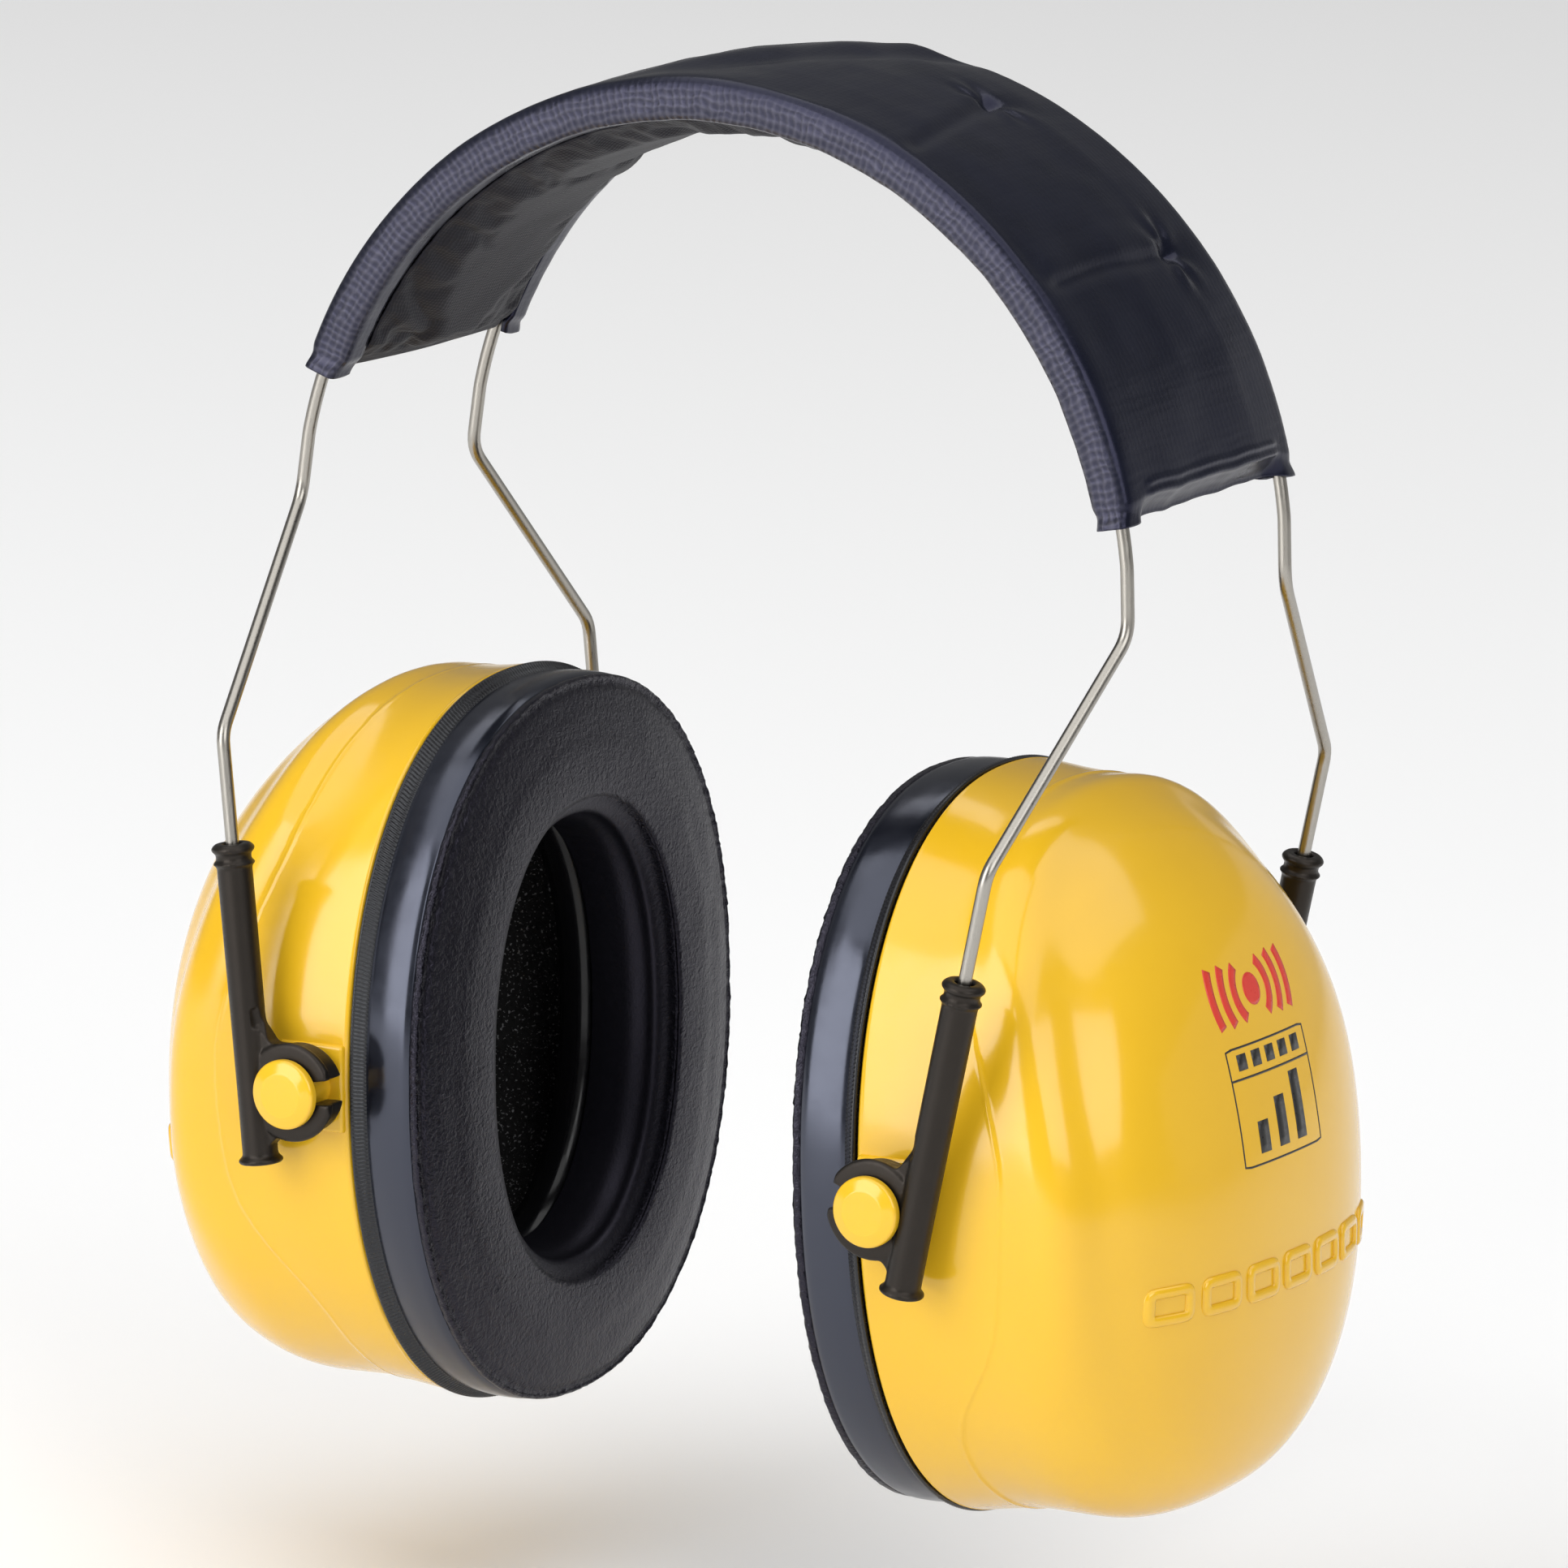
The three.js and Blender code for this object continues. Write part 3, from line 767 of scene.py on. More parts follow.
def cushion_flange(side):
    """The thin welded flange beside the shell's rim, with slanting ribs across it."""
    ribs, columns_per_rib, rib_depth, slant = 490, 4, 0.11, 2.2
    lip = [(1.028, 0.3), (1.036, 0.5), (1.033, 0.8), (1.02, 1.15), (1.0, 1.6), (0.985, 2.0), (0.975, 2.4)]
    section = np.vstack([[(0.96, 0.5), (1.01, 0.35)], along(lip, 20), [(0.96, 2.2)]])
    rings = cup_ring(section, ribs * columns_per_rib)
    part, height = section[:, 0, None], section[:, 1, None]
    angle = turns(ribs * columns_per_rib)[None, :]
    on_rib = smooth(0.6, 0.9, height) * (1 - smooth(2.0, 2.4, height)) * (part > 0.97)
    out = rib_depth * np.cos(ribs * angle + slant * height) * on_rib
    flat = rings * (0, 1, 1)
    rings = rings + flat / np.linalg.norm(flat, axis=2, keepdims=True) * out[..., None]
    cup_piece(side, "cushion_flange", rings, ribbed_pvc(), "cushion_side", closed=True)


def face_wrinkle(part, height, angle):
    """Height added to the face: the puckers of its weld, and the slack of the film."""
    arc = angle * 46  # millimetres round the edge
    puckers = 0.15 * noise(arc / 0.8, part * 36, 21) + 0.10 * noise(arc / 0.4, part * 60, 22)
    at_weld = smooth(0.87, 0.965, part) * (height > 8.4)
    slack = 0.12 * noise(arc / 9, part * 5 + 3, 23) * smooth(0.1, 0.3, part) * (1 - smooth(0.8, 0.95, part))
    return puckers * at_weld + slack * (height > 9)


def cushion_face(side):
    """The soft film: a puckered weld bead, a crowned ring and a roll down into the opening."""
    bead = [(0.97, 8.9), (0.985, 9.2), (0.990, 9.7), (0.982, 10.15), (0.969, 10.3), (0.956, 10.05)]
    crown = [
        (0.944, 10.1), (0.9, 10.55), (0.83, 10.95), (0.72, 11.5), (0.58, 12.0), (0.44, 12.3), (0.32, 12.3),
    ]
    roll = [
        (0.2, 11.7), (0.11, 10.4), (0.055, 8.6), (0.022, 6.6), (0.006, 4.6), (0.0, 2.6), (0.0, 0.3),
    ]
    inside = [
        (0.045, 0.3), (0.045, 3.4), (0.06, 5.6), (0.09, 7.8), (0.15, 9.6), (0.23, 10.7), (0.33, 11.3),
        (0.44, 11.4), (0.58, 11.15), (0.72, 10.6), (0.84, 10.0), (0.93, 9.3), (0.96, 8.8),
    ]
    section = np.vstack([along(bead + crown + roll, 96), along(inside, 30)])
    columns = 720
    rings = cup_ring(section, columns, face_wrinkle)
    made = cup_piece(
        side, "cushion_face", rings, grained_film(), "cushion_face", "cushion_face_skin", closed=True
    )
    store(made, "section", np.repeat(np.column_stack([section, 0 * section[:, 0]]), columns, axis=0))


def cushion_core(side):
    """The foam ring inside the cushion's two skins."""
    outer = [(0.08, 1.7), (0.9, 1.7), (0.92, 8.3), (0.84, 9.6)]
    inner = [(0.55, 10.0), (0.3, 9.2), (0.1, 6.6), (0.08, 1.7)]
    rings = cup_ring(fillet(outer + inner, (0.03, *[0.05] * 5))[:-1], 96)
    made = cup_piece(side, "cushion_core", rings, black_foam(), "foam", "cushion_foam", closed=True)


# ---- Wires and clamps ----


def on_tube(along_tube, y):
    """A point on a right-hand tube's axis."""
    sine, cosine = math.sin(CLAMP_LEAN), math.cos(CLAMP_LEAN)
    return (STUD_X + CLAMP_REACH * cosine + along_tube * sine, y, along_tube * cosine - CLAMP_REACH * sine)


def wire_path(away):
    """The wire's centreline, from the right-hand tube over the head to the left-hand one."""
    y, arch_y = away * CLAMP_Y, away * ARCH_OFFSET
    start = math.asin((KINK_HEIGHT - ARCH_CENTRE) / ARCH_RADIUS)
    straight = start + math.radians(8)  # from where the wire follows the arch
    above, kink = on_arch(straight, arch_y, 0), on_arch(start, arch_y, 0)
    leg = fillet([on_tube(WIRE_END, y), on_tube(CLAMP_KINK, y), kink, above], BEND_RADII, steps=10)
    arch = on_arch(np.linspace(straight, np.pi - straight, 120), arch_y, 0)
    left = leg[::-1] * (-1, 1, 1)
    return evenly(np.vstack([leg, arch[1:-1], left]), 0.8)


def tube_rings(path, radius, columns):
    """Rings round a path, without twist."""
    tangents = np.gradient(path, axis=0)
    tangents /= np.linalg.norm(tangents, axis=1, keepdims=True)
    turn = turns(columns)
    side = np.cross(tangents[0], (0, 1, 0))
    rings = []
    for point, tangent, size in zip(path, tangents, np.broadcast_to(radius, len(path))):
        side = side - tangent * (side @ tangent)
        side /= np.linalg.norm(side)
        up = np.cross(tangent, side)
        rings.append(point + size * (np.outer(np.cos(turn), side) + np.outer(np.sin(turn), up)))
    return np.array(rings)


def wire(end):
    """A spring wire, a little narrower at its cut ends."""
    path = wire_path(ENDS[end])
    radius = np.full(len(path), WIRE_RADIUS)
    radius[[0, -1]] = WIRE_RADIUS * 0.75
    rings = tube_rings(path, radius, 20)
    faces = tube_faces(*rings.shape[:2])
    band_piece(f"{end}_spring_wire", rings, faces, drawn_steel(), "steel_wire", f"{end}_wire")


def solid(points, faces):
    """A working object, for the booleans or the cloth."""
    mesh = new_mesh("working", points, faces)
    outward(mesh)
    return linked("working", mesh)


def lathe(profile, columns=48):
    """A closed solid turned about Z from (radius, height) points."""
    turn, profile = turns(columns), np.asarray(profile, float)
    radius, height = profile[:, 0, None], profile[:, 1, None]
    rings = stacked(radius * np.cos(turn), radius * np.sin(turn), height)
    return solid(rings.reshape(-1, 3), tube_faces(len(rings), columns))


def turned_y(made):
    """Turns a lathed solid so that its axis is the clamp's Y."""
    made.data.transform(Matrix.Rotation(-math.pi / 2, 4, "X"))
    return made


def on_tube_axis(made):
    """Moves a lathed solid from the stud's middle to the tube's axis."""
    made.data.transform(Matrix.Translation((CLAMP_REACH, 0, 0)))
    return made


def prism(outline, low, high):
    """A slab over an outline in the clamp's XZ plane, from y = low to y = high."""
    count = len(outline)
    points = [(x, y, z) for y in (low, high) for x, z in outline]
    faces = [(i, (i + 1) % count, (i + 1) % count + count, i + count) for i in range(count)]
    return solid(points, [*faces, tuple(range(count))[::-1], tuple(range(count, 2 * count))])


def evaluated(made):
    """The object's mesh with its modifiers applied; the working object is removed."""
    bpy.context.view_layer.update()
    mesh = bpy.data.meshes.new_from_object(made.evaluated_get(bpy.context.evaluated_depsgraph_get()))
    bpy.data.objects.remove(made)
    return mesh


def combine(base, others, operation):
    """Unites solids with a base or cuts them out of it, and removes the working objects."""
    for other in others:
        cut = base.modifiers.new("cut", "BOOLEAN")
        cut.operation, cut.object, cut.solver = operation, other, "EXACT"
    mesh = evaluated(base)
    for other in others:
        bpy.data.objects.remove(other)
    return linked("working", mesh)


def tube_profile():
    """The tube: a flanged foot, and two rounded beads below its mouth."""
    foot = [(2.7, CLAMP_BOTTOM), (3.02, -9.65), (3.02, -9.3), (2.7, -9.05), (2.42, -8.8)]
    profile = [(0, CLAMP_BOTTOM), *foot, (2.36, 0), (2.36, 12), (TUBE_RADIUS, 29.4)]
    for middle, half, bead_radius in ((31.0, 0.38, 2.86), (32.95, 0.68, 2.95)):
        for t in np.linspace(-1, 1, 7):
            swell = (bead_radius - TUBE_RADIUS) * math.cos(t * math.pi / 2)
            profile.append((TUBE_RADIUS + swell, middle + half * t))
    return [*profile, (2.2, CLAMP_TOP), (0, CLAMP_TOP + 0.05)]


def clamp_mesh():
    """One moulding: a tube for the wire, a split ring for the stud and a scooped web between them."""
    back = [(0, -2.9), (6.1, -2.9), (6.2, -2.6)]
    front = [(6.2, -1.5), (6.75, -1.1), (6.8, -0.5), (6.55, -0.1), (5.2, 0), (0, 0)]
    ring = turned_y(lathe(back + [(radius, RING_FRONT + height) for radius, height in front], 64))
    upper = fillet([(0, 6.3), (2.6, 6.5), (4.7, 12.5), (CLAMP_REACH, 14.5)], (1.5, 6), steps=5)
    lower = fillet([(CLAMP_REACH, -8.9), (4.6, -7.6), (2.4, -6.0), (0, -6.4)], (1.2, 2), steps=5)
    web = prism(np.vstack([upper, lower]), -1.45, 1.0)
    body = combine(on_tube_axis(lathe(tube_profile())), [ring, web], "UNION")
    stud_hole = turned_y(lathe([(0, -6), (3.6, -6), (3.6, 6), (0, 6)], 48))
    slot = prism([(-9, -1.75), (-1, -1.45), (-1, 1.45), (-9, 1.75)], -6, 6)
    flat_ends = prism([(-9, -8), (-6.1, -8), (-6.1, 8), (-9, 8)], -6, 6)
    bore = on_tube_axis(lathe([(0, 24), (1.25, 24), (1.25, 33.2), (1.6, 34.5), (0, 34.5)], 32))
    cutters = [stud_hole, slot, flat_ends, bore, scoop(-1), scoop(1)]
    made = combine(body, cutters, "DIFFERENCE")
    remesh = made.modifiers.new("remesh", "REMESH")
    remesh.mode, remesh.voxel_size, remesh.use_smooth_shade = "VOXEL", 0.2, True
    soften = made.modifiers.new("soften", "SMOOTH")
    soften.factor, soften.iterations = 0.5, 5
    thin = made.modifiers.new("thin", "DECIMATE")
    thin.ratio = 0.45
    return evaluated(made)


def scoop(away):
    """The hollow beside the web where it joins the tube to the ring."""
    hollow = lathe([(0, -2.6), (1.2, -2.2), (1.9, 0), (1.2, 2.2), (0, 2.6)], 24)
    hollow.data.transform(Matrix.Translation((2.9, away * 2.15 - 0.2, 9.6)) @ Matrix.Rotation(0.35, 4, "Y"))
    return hollow


def clamps():
    """Four castings of one pattern, each riding on its own body."""
    pattern = clamp_mesh()
    points = np.array([vert.co for vert in pattern.vertices])
    faces = [tuple(face.vertices) for face in pattern.polygons]
    bpy.data.meshes.remove(pattern)
    for side in SIDES:
        for end in ENDS:
            body, node = f"{side}_{end}_clamp", f"{side}_{end}_wire_clamp"
            place = clamp_place(side, end)
            piece(f"{body}_moulding", points, faces, body, black_nylon(), "black_clamp", [node], place)


# ---- Headband ----

BAND_STEP = 0.5  # along the arch, at the wires; half as much near the ends
BAND_END = 8
SETTLING_FRAMES = 25
SAG_CAP = 2.6
# Pinched dimples in the cover: degrees round the arch, and across the band.
DIMPLES = ((70.4, 8.5), (43.1, 12.5))


def band_angles():
    """Angles along the sleeve, closer together near its ends."""
    length = math.radians(SLEEVE_LEFT - SLEEVE_RIGHT) * ARCH_RADIUS
    close = np.arange(0, BAND_END, BAND_STEP / 2)
    middle = np.linspace(BAND_END, length - BAND_END, round((length - 2 * BAND_END) / BAND_STEP))
    far = np.concatenate([close, middle, length - close[::-1]])
    return math.radians(SLEEVE_RIGHT) + far / ARCH_RADIUS


def cover_section():
    """The cover's outside across the band: fold, wall, shoulder, crown, and the same on the far side."""

    def half(shoulder, edge):
        corners = [
            (SLEEVE_HALF - FLANGE, SLEEVE_UNDER), (SLEEVE_HALF, SLEEVE_UNDER), (SLEEVE_HALF, edge),
            (SLEEVE_HALF / 2, SLEEVE_CROWN - 0.15), (0, SLEEVE_CROWN),
        ]
        return fillet(corners, (1.5, shoulder, 12), steps=8)

    near = half(1.7, SLEEVE_EDGE) * (-1, 1)
    far = half(3.0, SLEEVE_EDGE - 0.5)[::-1]
    return evenly(np.vstack([near, far[1:]]), 0.62)


def end_distance(angles):
    """Millimetres from the sleeve's nearer end, along the wires."""
    first, last = np.radians(SLEEVE_RIGHT), np.radians(SLEEVE_LEFT)
    return np.minimum(angles - first, last - angles) * ARCH_RADIUS


def pinch(angles, section):
    """The section at each angle: welded flat at the ends between two channels round the wires."""
    y, out = np.broadcast_arrays(section[None, :, 0], section[None, :, 1] + 0 * angles[:, None])
    from_end = end_distance(angles)[:, None]
    closing = 1 - smooth(0.2, 3.4, from_end)
    channel = smooth(17.5, 20, np.abs(y))
    welded = out + (-0.2 - out) * closing * (out > 0)
    gathered = out * (1 - 0.32 * closing)
    shaped = welded * (1 - channel) + gathered * channel
    flare = 0.8 * (1 - smooth(0, 2.2, from_end)) * channel
    return stacked(y + np.sign(y) * flare, shaped + 0.5 * flare * np.sign(out + 0.4))


def dimples(s, y):
    """Two hollows, each with short rays round it where the cover is gathered."""
    height = 0
    for index, (degrees, middle) in enumerate(DIMPLES):
        ds, dy = s - math.radians(degrees) * ARCH_RADIUS, y - middle
        far, turn = np.hypot(ds, dy), np.arctan2(dy, ds)
        rays = 0.2 * np.cos(5 * turn + 1.3 * np.sin(2 * turn) + index) * hump(far - 3.2, 2.8)
        height = height + rays - 1.3 * hump(far, 1.5) - 0.4 * hump(far, 5)
    return height


def creases(s, y):
    """A crease across the band at each dimple, and a slanting crest beside the crown."""
    (upper, upper_y), (lower, _) = DIMPLES
    from_lower = s - math.radians(lower) * ARCH_RADIUS
    crease = -0.65 * hump(from_lower + 0.25 * np.sin(y / 4), 1.2) + 0.2 * hump(from_lower - 3.2, 2.0)
    from_upper = s - math.radians(upper) * ARCH_RADIUS - 0.16 * (y - upper_y)
    fold = -0.6 * hump(from_upper, 1.3)
    from_crown = s - math.radians(97) * ARCH_RADIUS + 0.5 * y
    crest = 0.5 * hump(from_crown, 3.2) - 0.5 * hump(from_crown + 6.5, 3)
    crease = crease * smooth(-22, -17, y) * smooth(14, 10, y)
    fold = fold * smooth(-23, -18, y) * smooth(9, 5, y)
    return crease + fold + crest * smooth(-24, -6, y)


def cover_relief(angles, y, out):
    """Height added to the cover by its slack, dimples, creases, ripples and weld lines."""
    s = angles[:, None] * ARCH_RADIUS
    from_end = end_distance(angles)[:, None]
    top = smooth(0.6, 2.0, out) * smooth(24, 21, np.abs(y))
    wall = smooth(1.2, -0.5, out) * (np.abs(y) > 20)
    slack = 0.28 * noise(s / 13, y / 11, 31) + 0.05 * noise(s / 2.2, y / 9, 32)
    ripples = 0.012 * np.sin(s * 4.2 + 5 * noise(s / 4, y / 9, 33))
    ripples = ripples * smooth(60, 30, np.degrees(angles))[:, None]
    weld = 0.3 * (hump(from_end - 3.1, 0.42) + hump(from_end - 4.6, 0.42))
    weld = weld * smooth(19, 17, np.abs(y)) * (out > -1)
    on_top = (slack + dimples(s, y) + creases(s, y) + ripples) * top
    return on_top + weld + 0.16 * noise(s / 4.5, out, 34) * wall


def sheet_normals(grid, upwards):
    """Unit normals of a sheet over the head, which point up or down at its crown."""
    normals = normals_of(grid, wrap=False)
    rows, cols = grid.shape[:2]
    return normals if (normals[rows // 2, cols // 2, 2] > 0) == upwards else -normals


def band_cover():
    """The cover: its gathered and welded form, with the relief laid over it."""
    section, angles = cover_section(), band_angles()
    shaped = pinch(angles, section)
    across = shaped[..., 0]
    wavy = 0.3 * noise(across / 5, 0 * angles[:, None], 36)
    overrun = 0.7 * smooth(18, 22.5, np.abs(across)) - 0.8 + wavy
    stretch = overrun * (1 - smooth(0, 10, end_distance(angles)[:, None])) / ARCH_RADIUS
    leaning = np.where(angles[:, None] < np.pi / 2, -stretch, stretch)
    base = on_arch(angles[:, None] + leaning, across, shaped[..., 1])
    normals = sheet_normals(base, upwards=True)
    y, out = section[None, :, 0], section[None, :, 1]
    relief = cover_relief(angles, y, out + 0 * angles[:, None])
    outer = base + normals * relief[..., None]
    inner = base + normals * (relief * 0.8 - SHEET)[..., None]
    points, faces = np.concatenate([outer, inner]), slab_faces(*outer.shape[:2])
    made = band_piece("headband_cover", points, faces, navy_vinyl(), "band_vinyl", "band_cover")
    place = lengths(section)
    # The side wall's mask goes with the weave; the vinyl paints a highlight into the base colour over it
    # and strengthens its bump there.
    wall = smooth(22.6, 23.8, np.abs(y)) * smooth(SLEEVE_EDGE, 0, out)
    weave = stacked(angles[:, None] * ARCH_RADIUS, place[None, :], wall)
    store(made, "weave", np.concatenate([weave, weave]))


def band_lining():
    """The lining, slack between the folded edges: a cloth simulation lets it buckle and sag."""
    angles = band_angles()[4:-4:2]
    y = np.linspace(-LINING_HALF, LINING_HALF, 41)
    from_end = end_distance(angles)[:, None]
    bow = 1 - (y / LINING_HALF) ** 2
    out = SLEEVE_UNDER - 0.25 - 0.5 * bow[None, :] + 1.9 * (1 - smooth(0.5, 6, from_end))
    out = out + 0.14 * noise(angles[:, None] * ARCH_RADIUS / 6, y[None, :] / 8, 41) * bow
    grid = on_arch(angles[:, None], y[None, :], out)
    sheet = sagged(grid, from_end)
    upper = sheet - sheet_normals(sheet, upwards=False) * LINING_THICKNESS
    points, faces = np.concatenate([sheet, upper]), slab_faces(*sheet.shape[:2])
    made = band_piece("headband_lining", points, faces, grey_lining(), "band_lining", "band_lining")
    weave = stacked(angles[:, None] * ARCH_RADIUS, y[None, :], 0.0)
    store(made, "weave", np.concatenate([weave, weave]))
    fine = made.modifiers.new("fine", "SUBSURF")
    fine.levels = fine.render_levels = 1


def sagged(grid, from_end):
    """The grid after Blender's cloth has let its slack hang, each point no further than a cap."""
    rows, cols = grid.shape[:2]
    corners = [r * cols + c for r in range(rows - 1) for c in range(cols - 1)]
    faces = [(i, i + 1, i + cols + 1, i + cols) for i in corners]
    cloth_object = solid(grid.reshape(-1, 3) * MM, faces)
    held = cloth_object.vertex_groups.new(name="held")
    edge = [r * cols + c for r in range(rows) for c in range(cols)
            if c in (0, cols - 1) or from_end[r, 0] < 3]
    held.add(edge, 1, "REPLACE")
    cloth = cloth_object.modifiers.new("cloth", "CLOTH").settings
    cloth.vertex_group_mass = "held"
    cloth.quality = 6
    cloth.mass = 0.02
    cloth.tension_stiffness = cloth.compression_stiffness = 12
    cloth.shear_stiffness = 6
    cloth.bending_stiffness = 0.02
    cloth.shrink_min = cloth.shrink_max = -0.045
    for frame_number in range(1, SETTLING_FRAMES + 1):
        bpy.context.scene.frame_set(frame_number)
    mesh = evaluated(cloth_object)
    bpy.context.scene.frame_set(1)
    moved = np.array([vert.co for vert in mesh.vertices]).reshape(rows, cols, 3) / MM - grid
    far = np.linalg.norm(moved, axis=2, keepdims=True)
    return grid + moved * np.minimum(1, SAG_CAP / np.maximum(far, 1e-6))


def band_pad():
    """The foam strip inside the sleeve."""
    angles = band_angles()
    angles = angles[end_distance(angles) > 9][::3]
    half = fillet([(0, -2.1), (19.6, -2.0), (19.6, 0.2), (0, 0.6)], (1, 1), steps=4)
    section = np.vstack([half, (half * (-1, 1))[::-1][1:-1]])
    base = on_arch(angles[:, None], section[None, :, 0], section[None, :, 1] + 0 * angles[:, None])
    made = band_piece("headband_pad", base, tube_faces(*base.shape[:2]), black_foam(), "foam", "band_pad")


# ---- Marks ----

FRAME_COLUMNS = 48
PRINT = 0.05  # height of the print over the shell
RAISED = 0.48  # height of the raised marks over the shell
RAISED_ROW = -14.2  # height of the raised marks' middle
RAISED_MIDDLES = (-27, -18, -9, 0, 9, 18, 27)
LABEL = (-11.8, 9.4, 1.0, 16.8)  # left, right, bottom and top of the printed box
LABEL_HEADER = 4.3  # height of the box's upper part
HEADER_BLOCKS = (-8.4, -4.8, -1.2, 2.4, 6.0)
LEVELS = ((-6.2, 4.2), (-1.2, 6.6), (3.8, 9.0))  # place and height of each bar
SIGN_MIDDLE, SIGN_HEIGHT = -1.6, 23.2
WAVES = ((4.4, 50), (7.1, 32), (9.8, 23))  # radius, and degrees up and down
STROKE = 0.28  # of the printed box's lines


def rounded_box(middle, half_width, half_height, radius):
    """An outline in the cup's (y, z) plane, with even points round it."""
    (y, z), w, h = middle, half_width, half_height
    corners = [(w, 0), (w, h), (-w, h), (-w, -h), (w, -h), (w, 0)]
    path = fillet(corners, (radius,) * 4, steps=4) + (y, z)
    return read_along(path, np.linspace(0, lengths(path)[-1], FRAME_COLUMNS, endpoint=False))


def on_face(depth, outline, lift):
    """The outline's points, lifted off the cup's outer face."""
    return np.array([(depth(y, z) + lift, y, z) for y, z in outline])


def frame_mark(depth, middle, half_width, half_height, stroke, radius, lift, bevel):
    """A closed outline of a given stroke, standing out of the shell."""
    inner = stroke - bevel
    grown = [(0, -0.3), (0, lift * 0.4), (bevel, lift), (inner, lift), (stroke, lift * 0.4), (stroke, -0.3)]
    rings = []
    for inset, height in grown:
        corner = max(0.1, radius - inset)
        outline = rounded_box(middle, half_width - inset, half_height - inset, corner)
        rings.append(on_face(depth, outline, height))
    return np.concatenate(rings), ring_faces(len(rings), FRAME_COLUMNS, closed=True)


def printed(depth, grid):
    """A printed patch over a grid of (y, z) points."""
    rows, cols = grid.shape[:2]
    flat = grid.reshape(-1, 2)
    return np.concatenate([on_face(depth, flat, PRINT), on_face(depth, flat, -0.2)]), slab_faces(rows, cols)


def bar(left, right, bottom, top):
    """A rectangle's grid, in steps of about 1.2 mm."""
    y = np.linspace(left, right, max(2, round((right - left) / 1.2) + 1))
    z = np.linspace(bottom, top, max(2, round((top - bottom) / 1.2) + 1))
    return np.stack(np.meshgrid(y, z), axis=-1)


def arc(radius, width, reach, facing):
    """A thick arc round the sign's middle, as far as `reach` degrees up and down."""
    angle = np.radians(np.linspace(-reach, reach, 17))
    radii = np.linspace(radius - width / 2, radius + width / 2, 4)[:, None]
    return stacked(SIGN_MIDDLE + facing * radii * np.cos(angle), SIGN_HEIGHT + radii * np.sin(angle))


def disc(radius):
    """A round patch, squared off so that it is a grid."""
    t = np.linspace(-1, 1, 9)
    u, v = np.meshgrid(t, t)
    y, z = radius * u * np.sqrt(1 - v * v / 2), radius * v * np.sqrt(1 - u * u / 2)
    return stacked(SIGN_MIDDLE + y, SIGN_HEIGHT + z)


def joined(shapes):
    """Several shapes' points and faces as one."""
    points, faces, start = [], [], 0
    for shape_points, shape_faces in shapes:
        points.append(shape_points)
        faces += [tuple(i + start for i in face) for face in shape_faces]
        start += len(shape_points)
    return np.concatenate(points), faces


def marks(side):
    """Generic marks in place of the maker's: sound waves, a level sign in a box, and raised loops."""
    depth, place, body = outer_face(), cup_place(side), f"{side}_cup"
    loops = [frame_mark(depth, (y, RAISED_ROW), 3.8, 2.6, 1.45, 1.6, RAISED, 0.35) for y in RAISED_MIDDLES]
    piece(f"{side}_raised_marks", *joined(loops), body, yellow_abs(), "yellow_shell", (), place)
    waves = [disc(2.1)]
    waves += [arc(radius, 1.5, reach, facing) for radius, reach in WAVES for facing in (-1, 1)]
    waves = joined([printed(depth, grid) for grid in waves])
    piece(f"{side}_printed_waves", *waves, body, red_ink(), None, (), place)
    left, right, bottom, top = LABEL
    header = top - LABEL_HEADER
    middle, halves = ((left + right) / 2, (bottom + top) / 2), ((right - left) / 2, (top - bottom) / 2)
    box = frame_mark(depth, middle, *halves, STROKE, 0.3, PRINT, 0.04)
    bars = [bar(left + 0.3, right - 0.3, header, header + STROKE)]
    bars += [bar(y - 1.1, y + 1.1, header + 1.2, header + 3.3) for y in HEADER_BLOCKS]
    bars += [bar(y - 1.3, y + 1.3, bottom + 1.5, bottom + 1.5 + height) for y, height in LEVELS]
    label = joined([box] + [printed(depth, grid) for grid in bars])
    piece(f"{side}_printed_label", *label, body, black_ink(), None, (), place)


# ---- Studio ----

AZIMUTH, ELEVATION, ROLL = (math.radians(angle) for angle in (29.37, 13.01, 3.09))
CAMERA_DISTANCE = 1521  # millimetres
CAMERA_SHIFT = (-3.19, -40.12)  # of the stud axis's middle from the view's centre, right and up
LENS = 257.7
FLOOR = 6  # metres from its middle to its sides
FLOOR_DROP = 0.026  # metres under the cups, which leaves them room to slide down


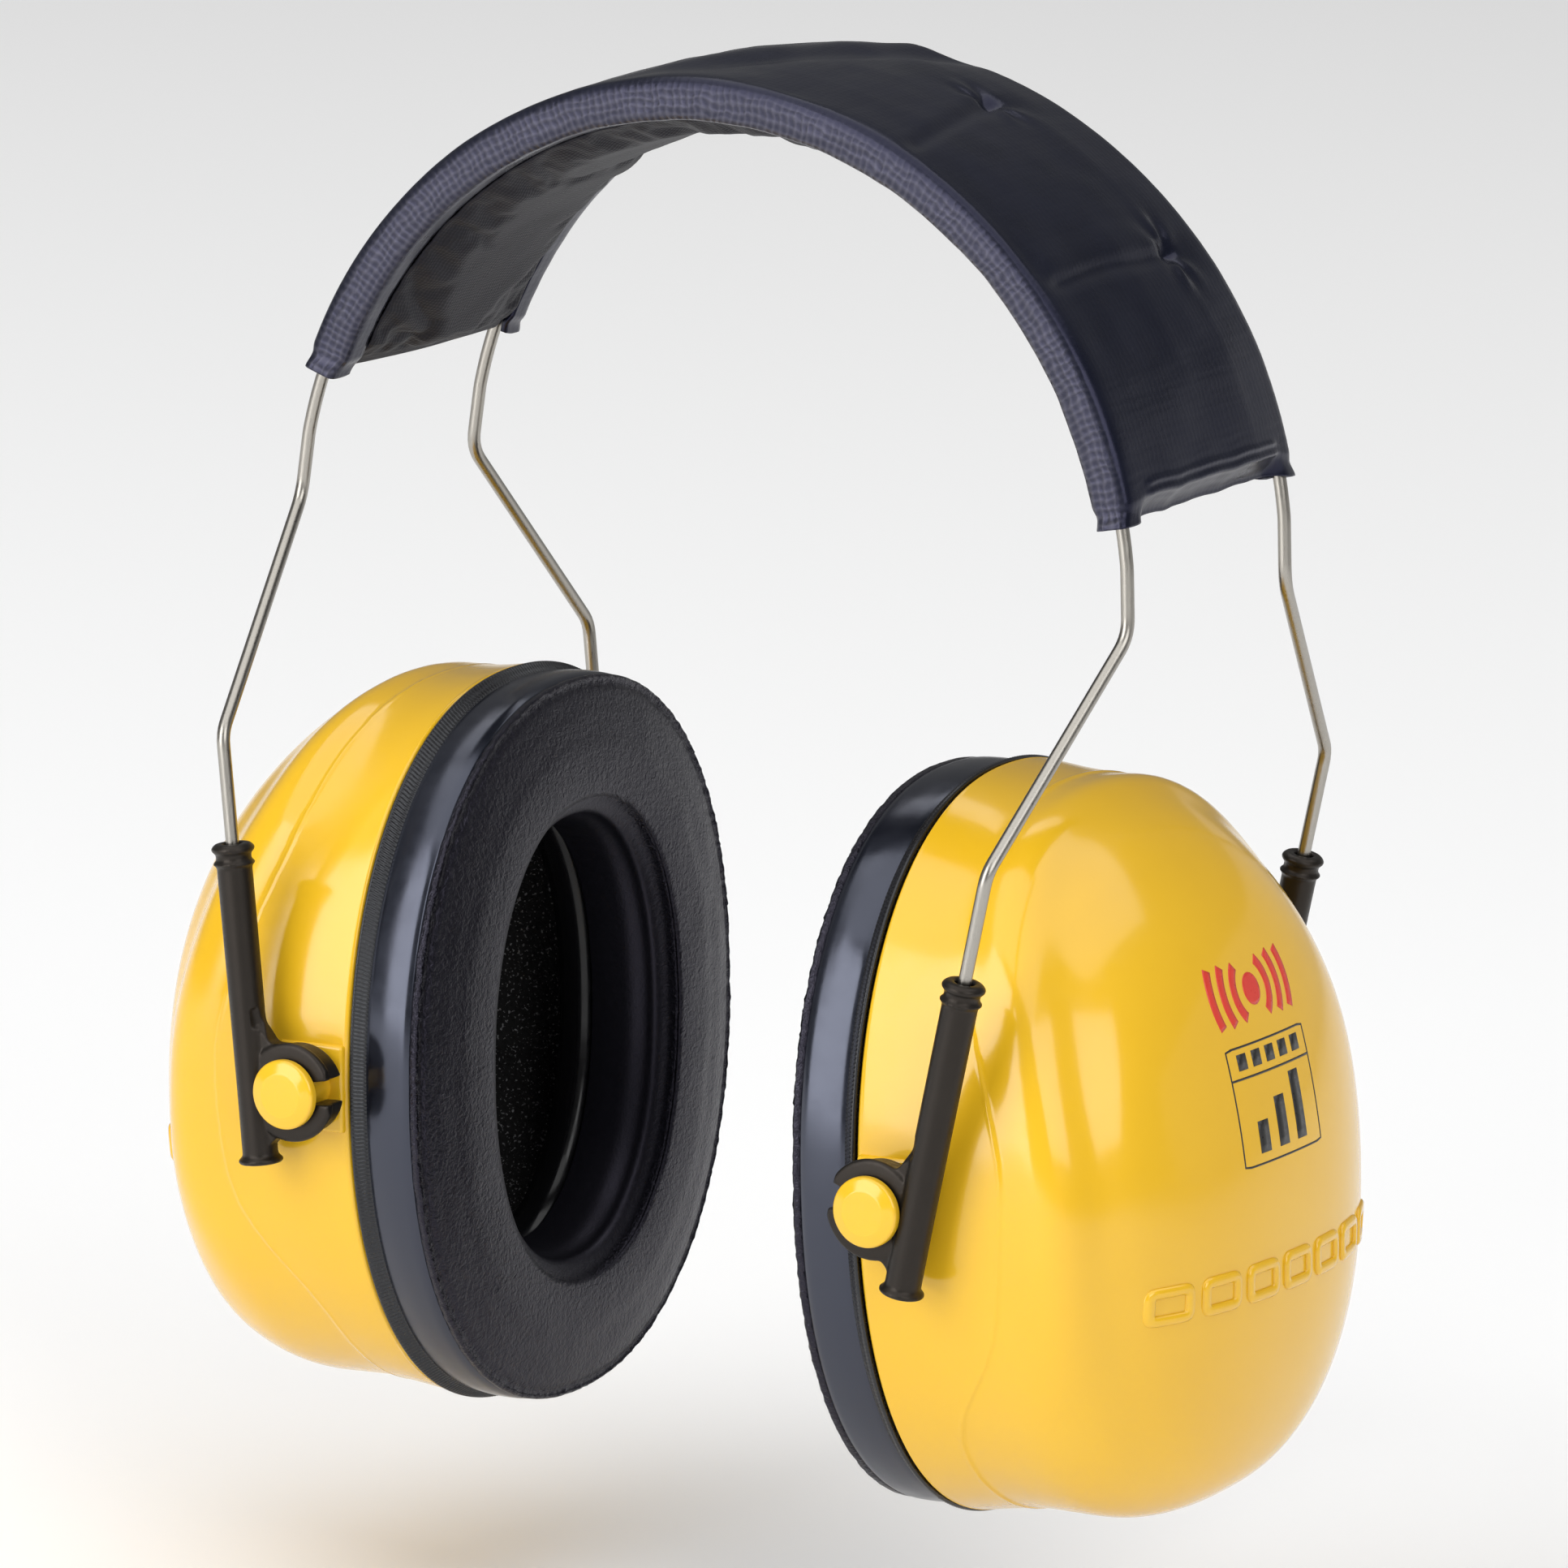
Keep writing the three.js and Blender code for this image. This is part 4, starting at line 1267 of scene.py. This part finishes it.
def camera():
    """The camera, by its direction from the muffs and the place of their middle in its view."""
    back = Vector((math.sin(AZIMUTH) * math.cos(ELEVATION), -math.cos(AZIMUTH) * math.cos(ELEVATION),
                   math.sin(ELEVATION)))
    level = Vector((math.cos(AZIMUTH), math.sin(AZIMUTH), 0))
    rise = back.cross(level)
    right = math.cos(ROLL) * level + math.sin(ROLL) * rise
    up = math.cos(ROLL) * rise - math.sin(ROLL) * level
    data = bpy.data.cameras.new("camera")
    data.lens, data.sensor_width, data.clip_end = LENS, 36, 50
    made = linked("camera", data)
    place = back * CAMERA_DISTANCE - right * CAMERA_SHIFT[0] - up * CAMERA_SHIFT[1]
    turn = Matrix((right, up, back)).transposed().to_4x4()
    made.matrix_world = Matrix.Translation((place + Vector((0, 0, STUD_Z))) * MM) @ turn
    bpy.context.scene.camera = made


def softbox(name, place, aim, size, power):
    """A rectangular light that faces a point, in metres and watts."""
    data = bpy.data.lights.new(name, "AREA")
    data.shape, data.size, data.size_y = "RECTANGLE", *size
    data.energy = power
    made = linked(name, data)
    made.location = place
    made.rotation_euler = (Vector(aim) - Vector(place)).to_track_quat("-Z", "Y").to_euler()


def studio():
    """A pale floor under white light from four soft boxes."""
    scene = bpy.context.scene
    scene.view_settings.view_transform = "Standard"
    world = bpy.data.worlds.new("studio")
    world.use_nodes = True
    world.node_tree.nodes["Background"].inputs["Color"].default_value = (1, 1, 1, 1)
    world.node_tree.nodes["Background"].inputs["Strength"].default_value = 0.18
    scene.world = world
    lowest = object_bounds()[0].z
    around = ((-FLOOR, -FLOOR), (FLOOR, -FLOOR), (FLOOR, FLOOR), (-FLOOR, FLOOR))
    corners = [(x, y, lowest - FLOOR_DROP) for x, y in around]
    mesh = new_mesh("floor", corners, [(0, 1, 2, 3)])
    mesh.materials.append(Look("pale_floor", (0.96, 0.96, 0.96), 0.9).material)
    floor = linked("floor", mesh)
    floor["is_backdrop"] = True
    middle = (0, 0, -0.08)
    softbox("key", (-0.5, -1.3, 0.38), middle, (1.0, 1.3), 15.5)
    softbox("fill", (1.5, -0.9, 0.75), middle, (1.3, 1.1), 12)
    softbox("top", (0.0, -0.1, 2.3), middle, (3.9, 3.9), 70)
    softbox("backdrop", (0.9, 1.6, 0.15), middle, (3.0, 0.6), 1.4)


# ---- The whole ----

for end in ENDS:
    wire(end)
band_cover()
band_lining()
band_pad()
clamps()
for side in SIDES:
    cup_shell(side)
    studs(side)
    foam_liner(side)
    backplate(side)
    cushion_side(side)
    cushion_flange(side)
    cushion_face(side)
    cushion_core(side)
    marks(side)
studio()
camera()
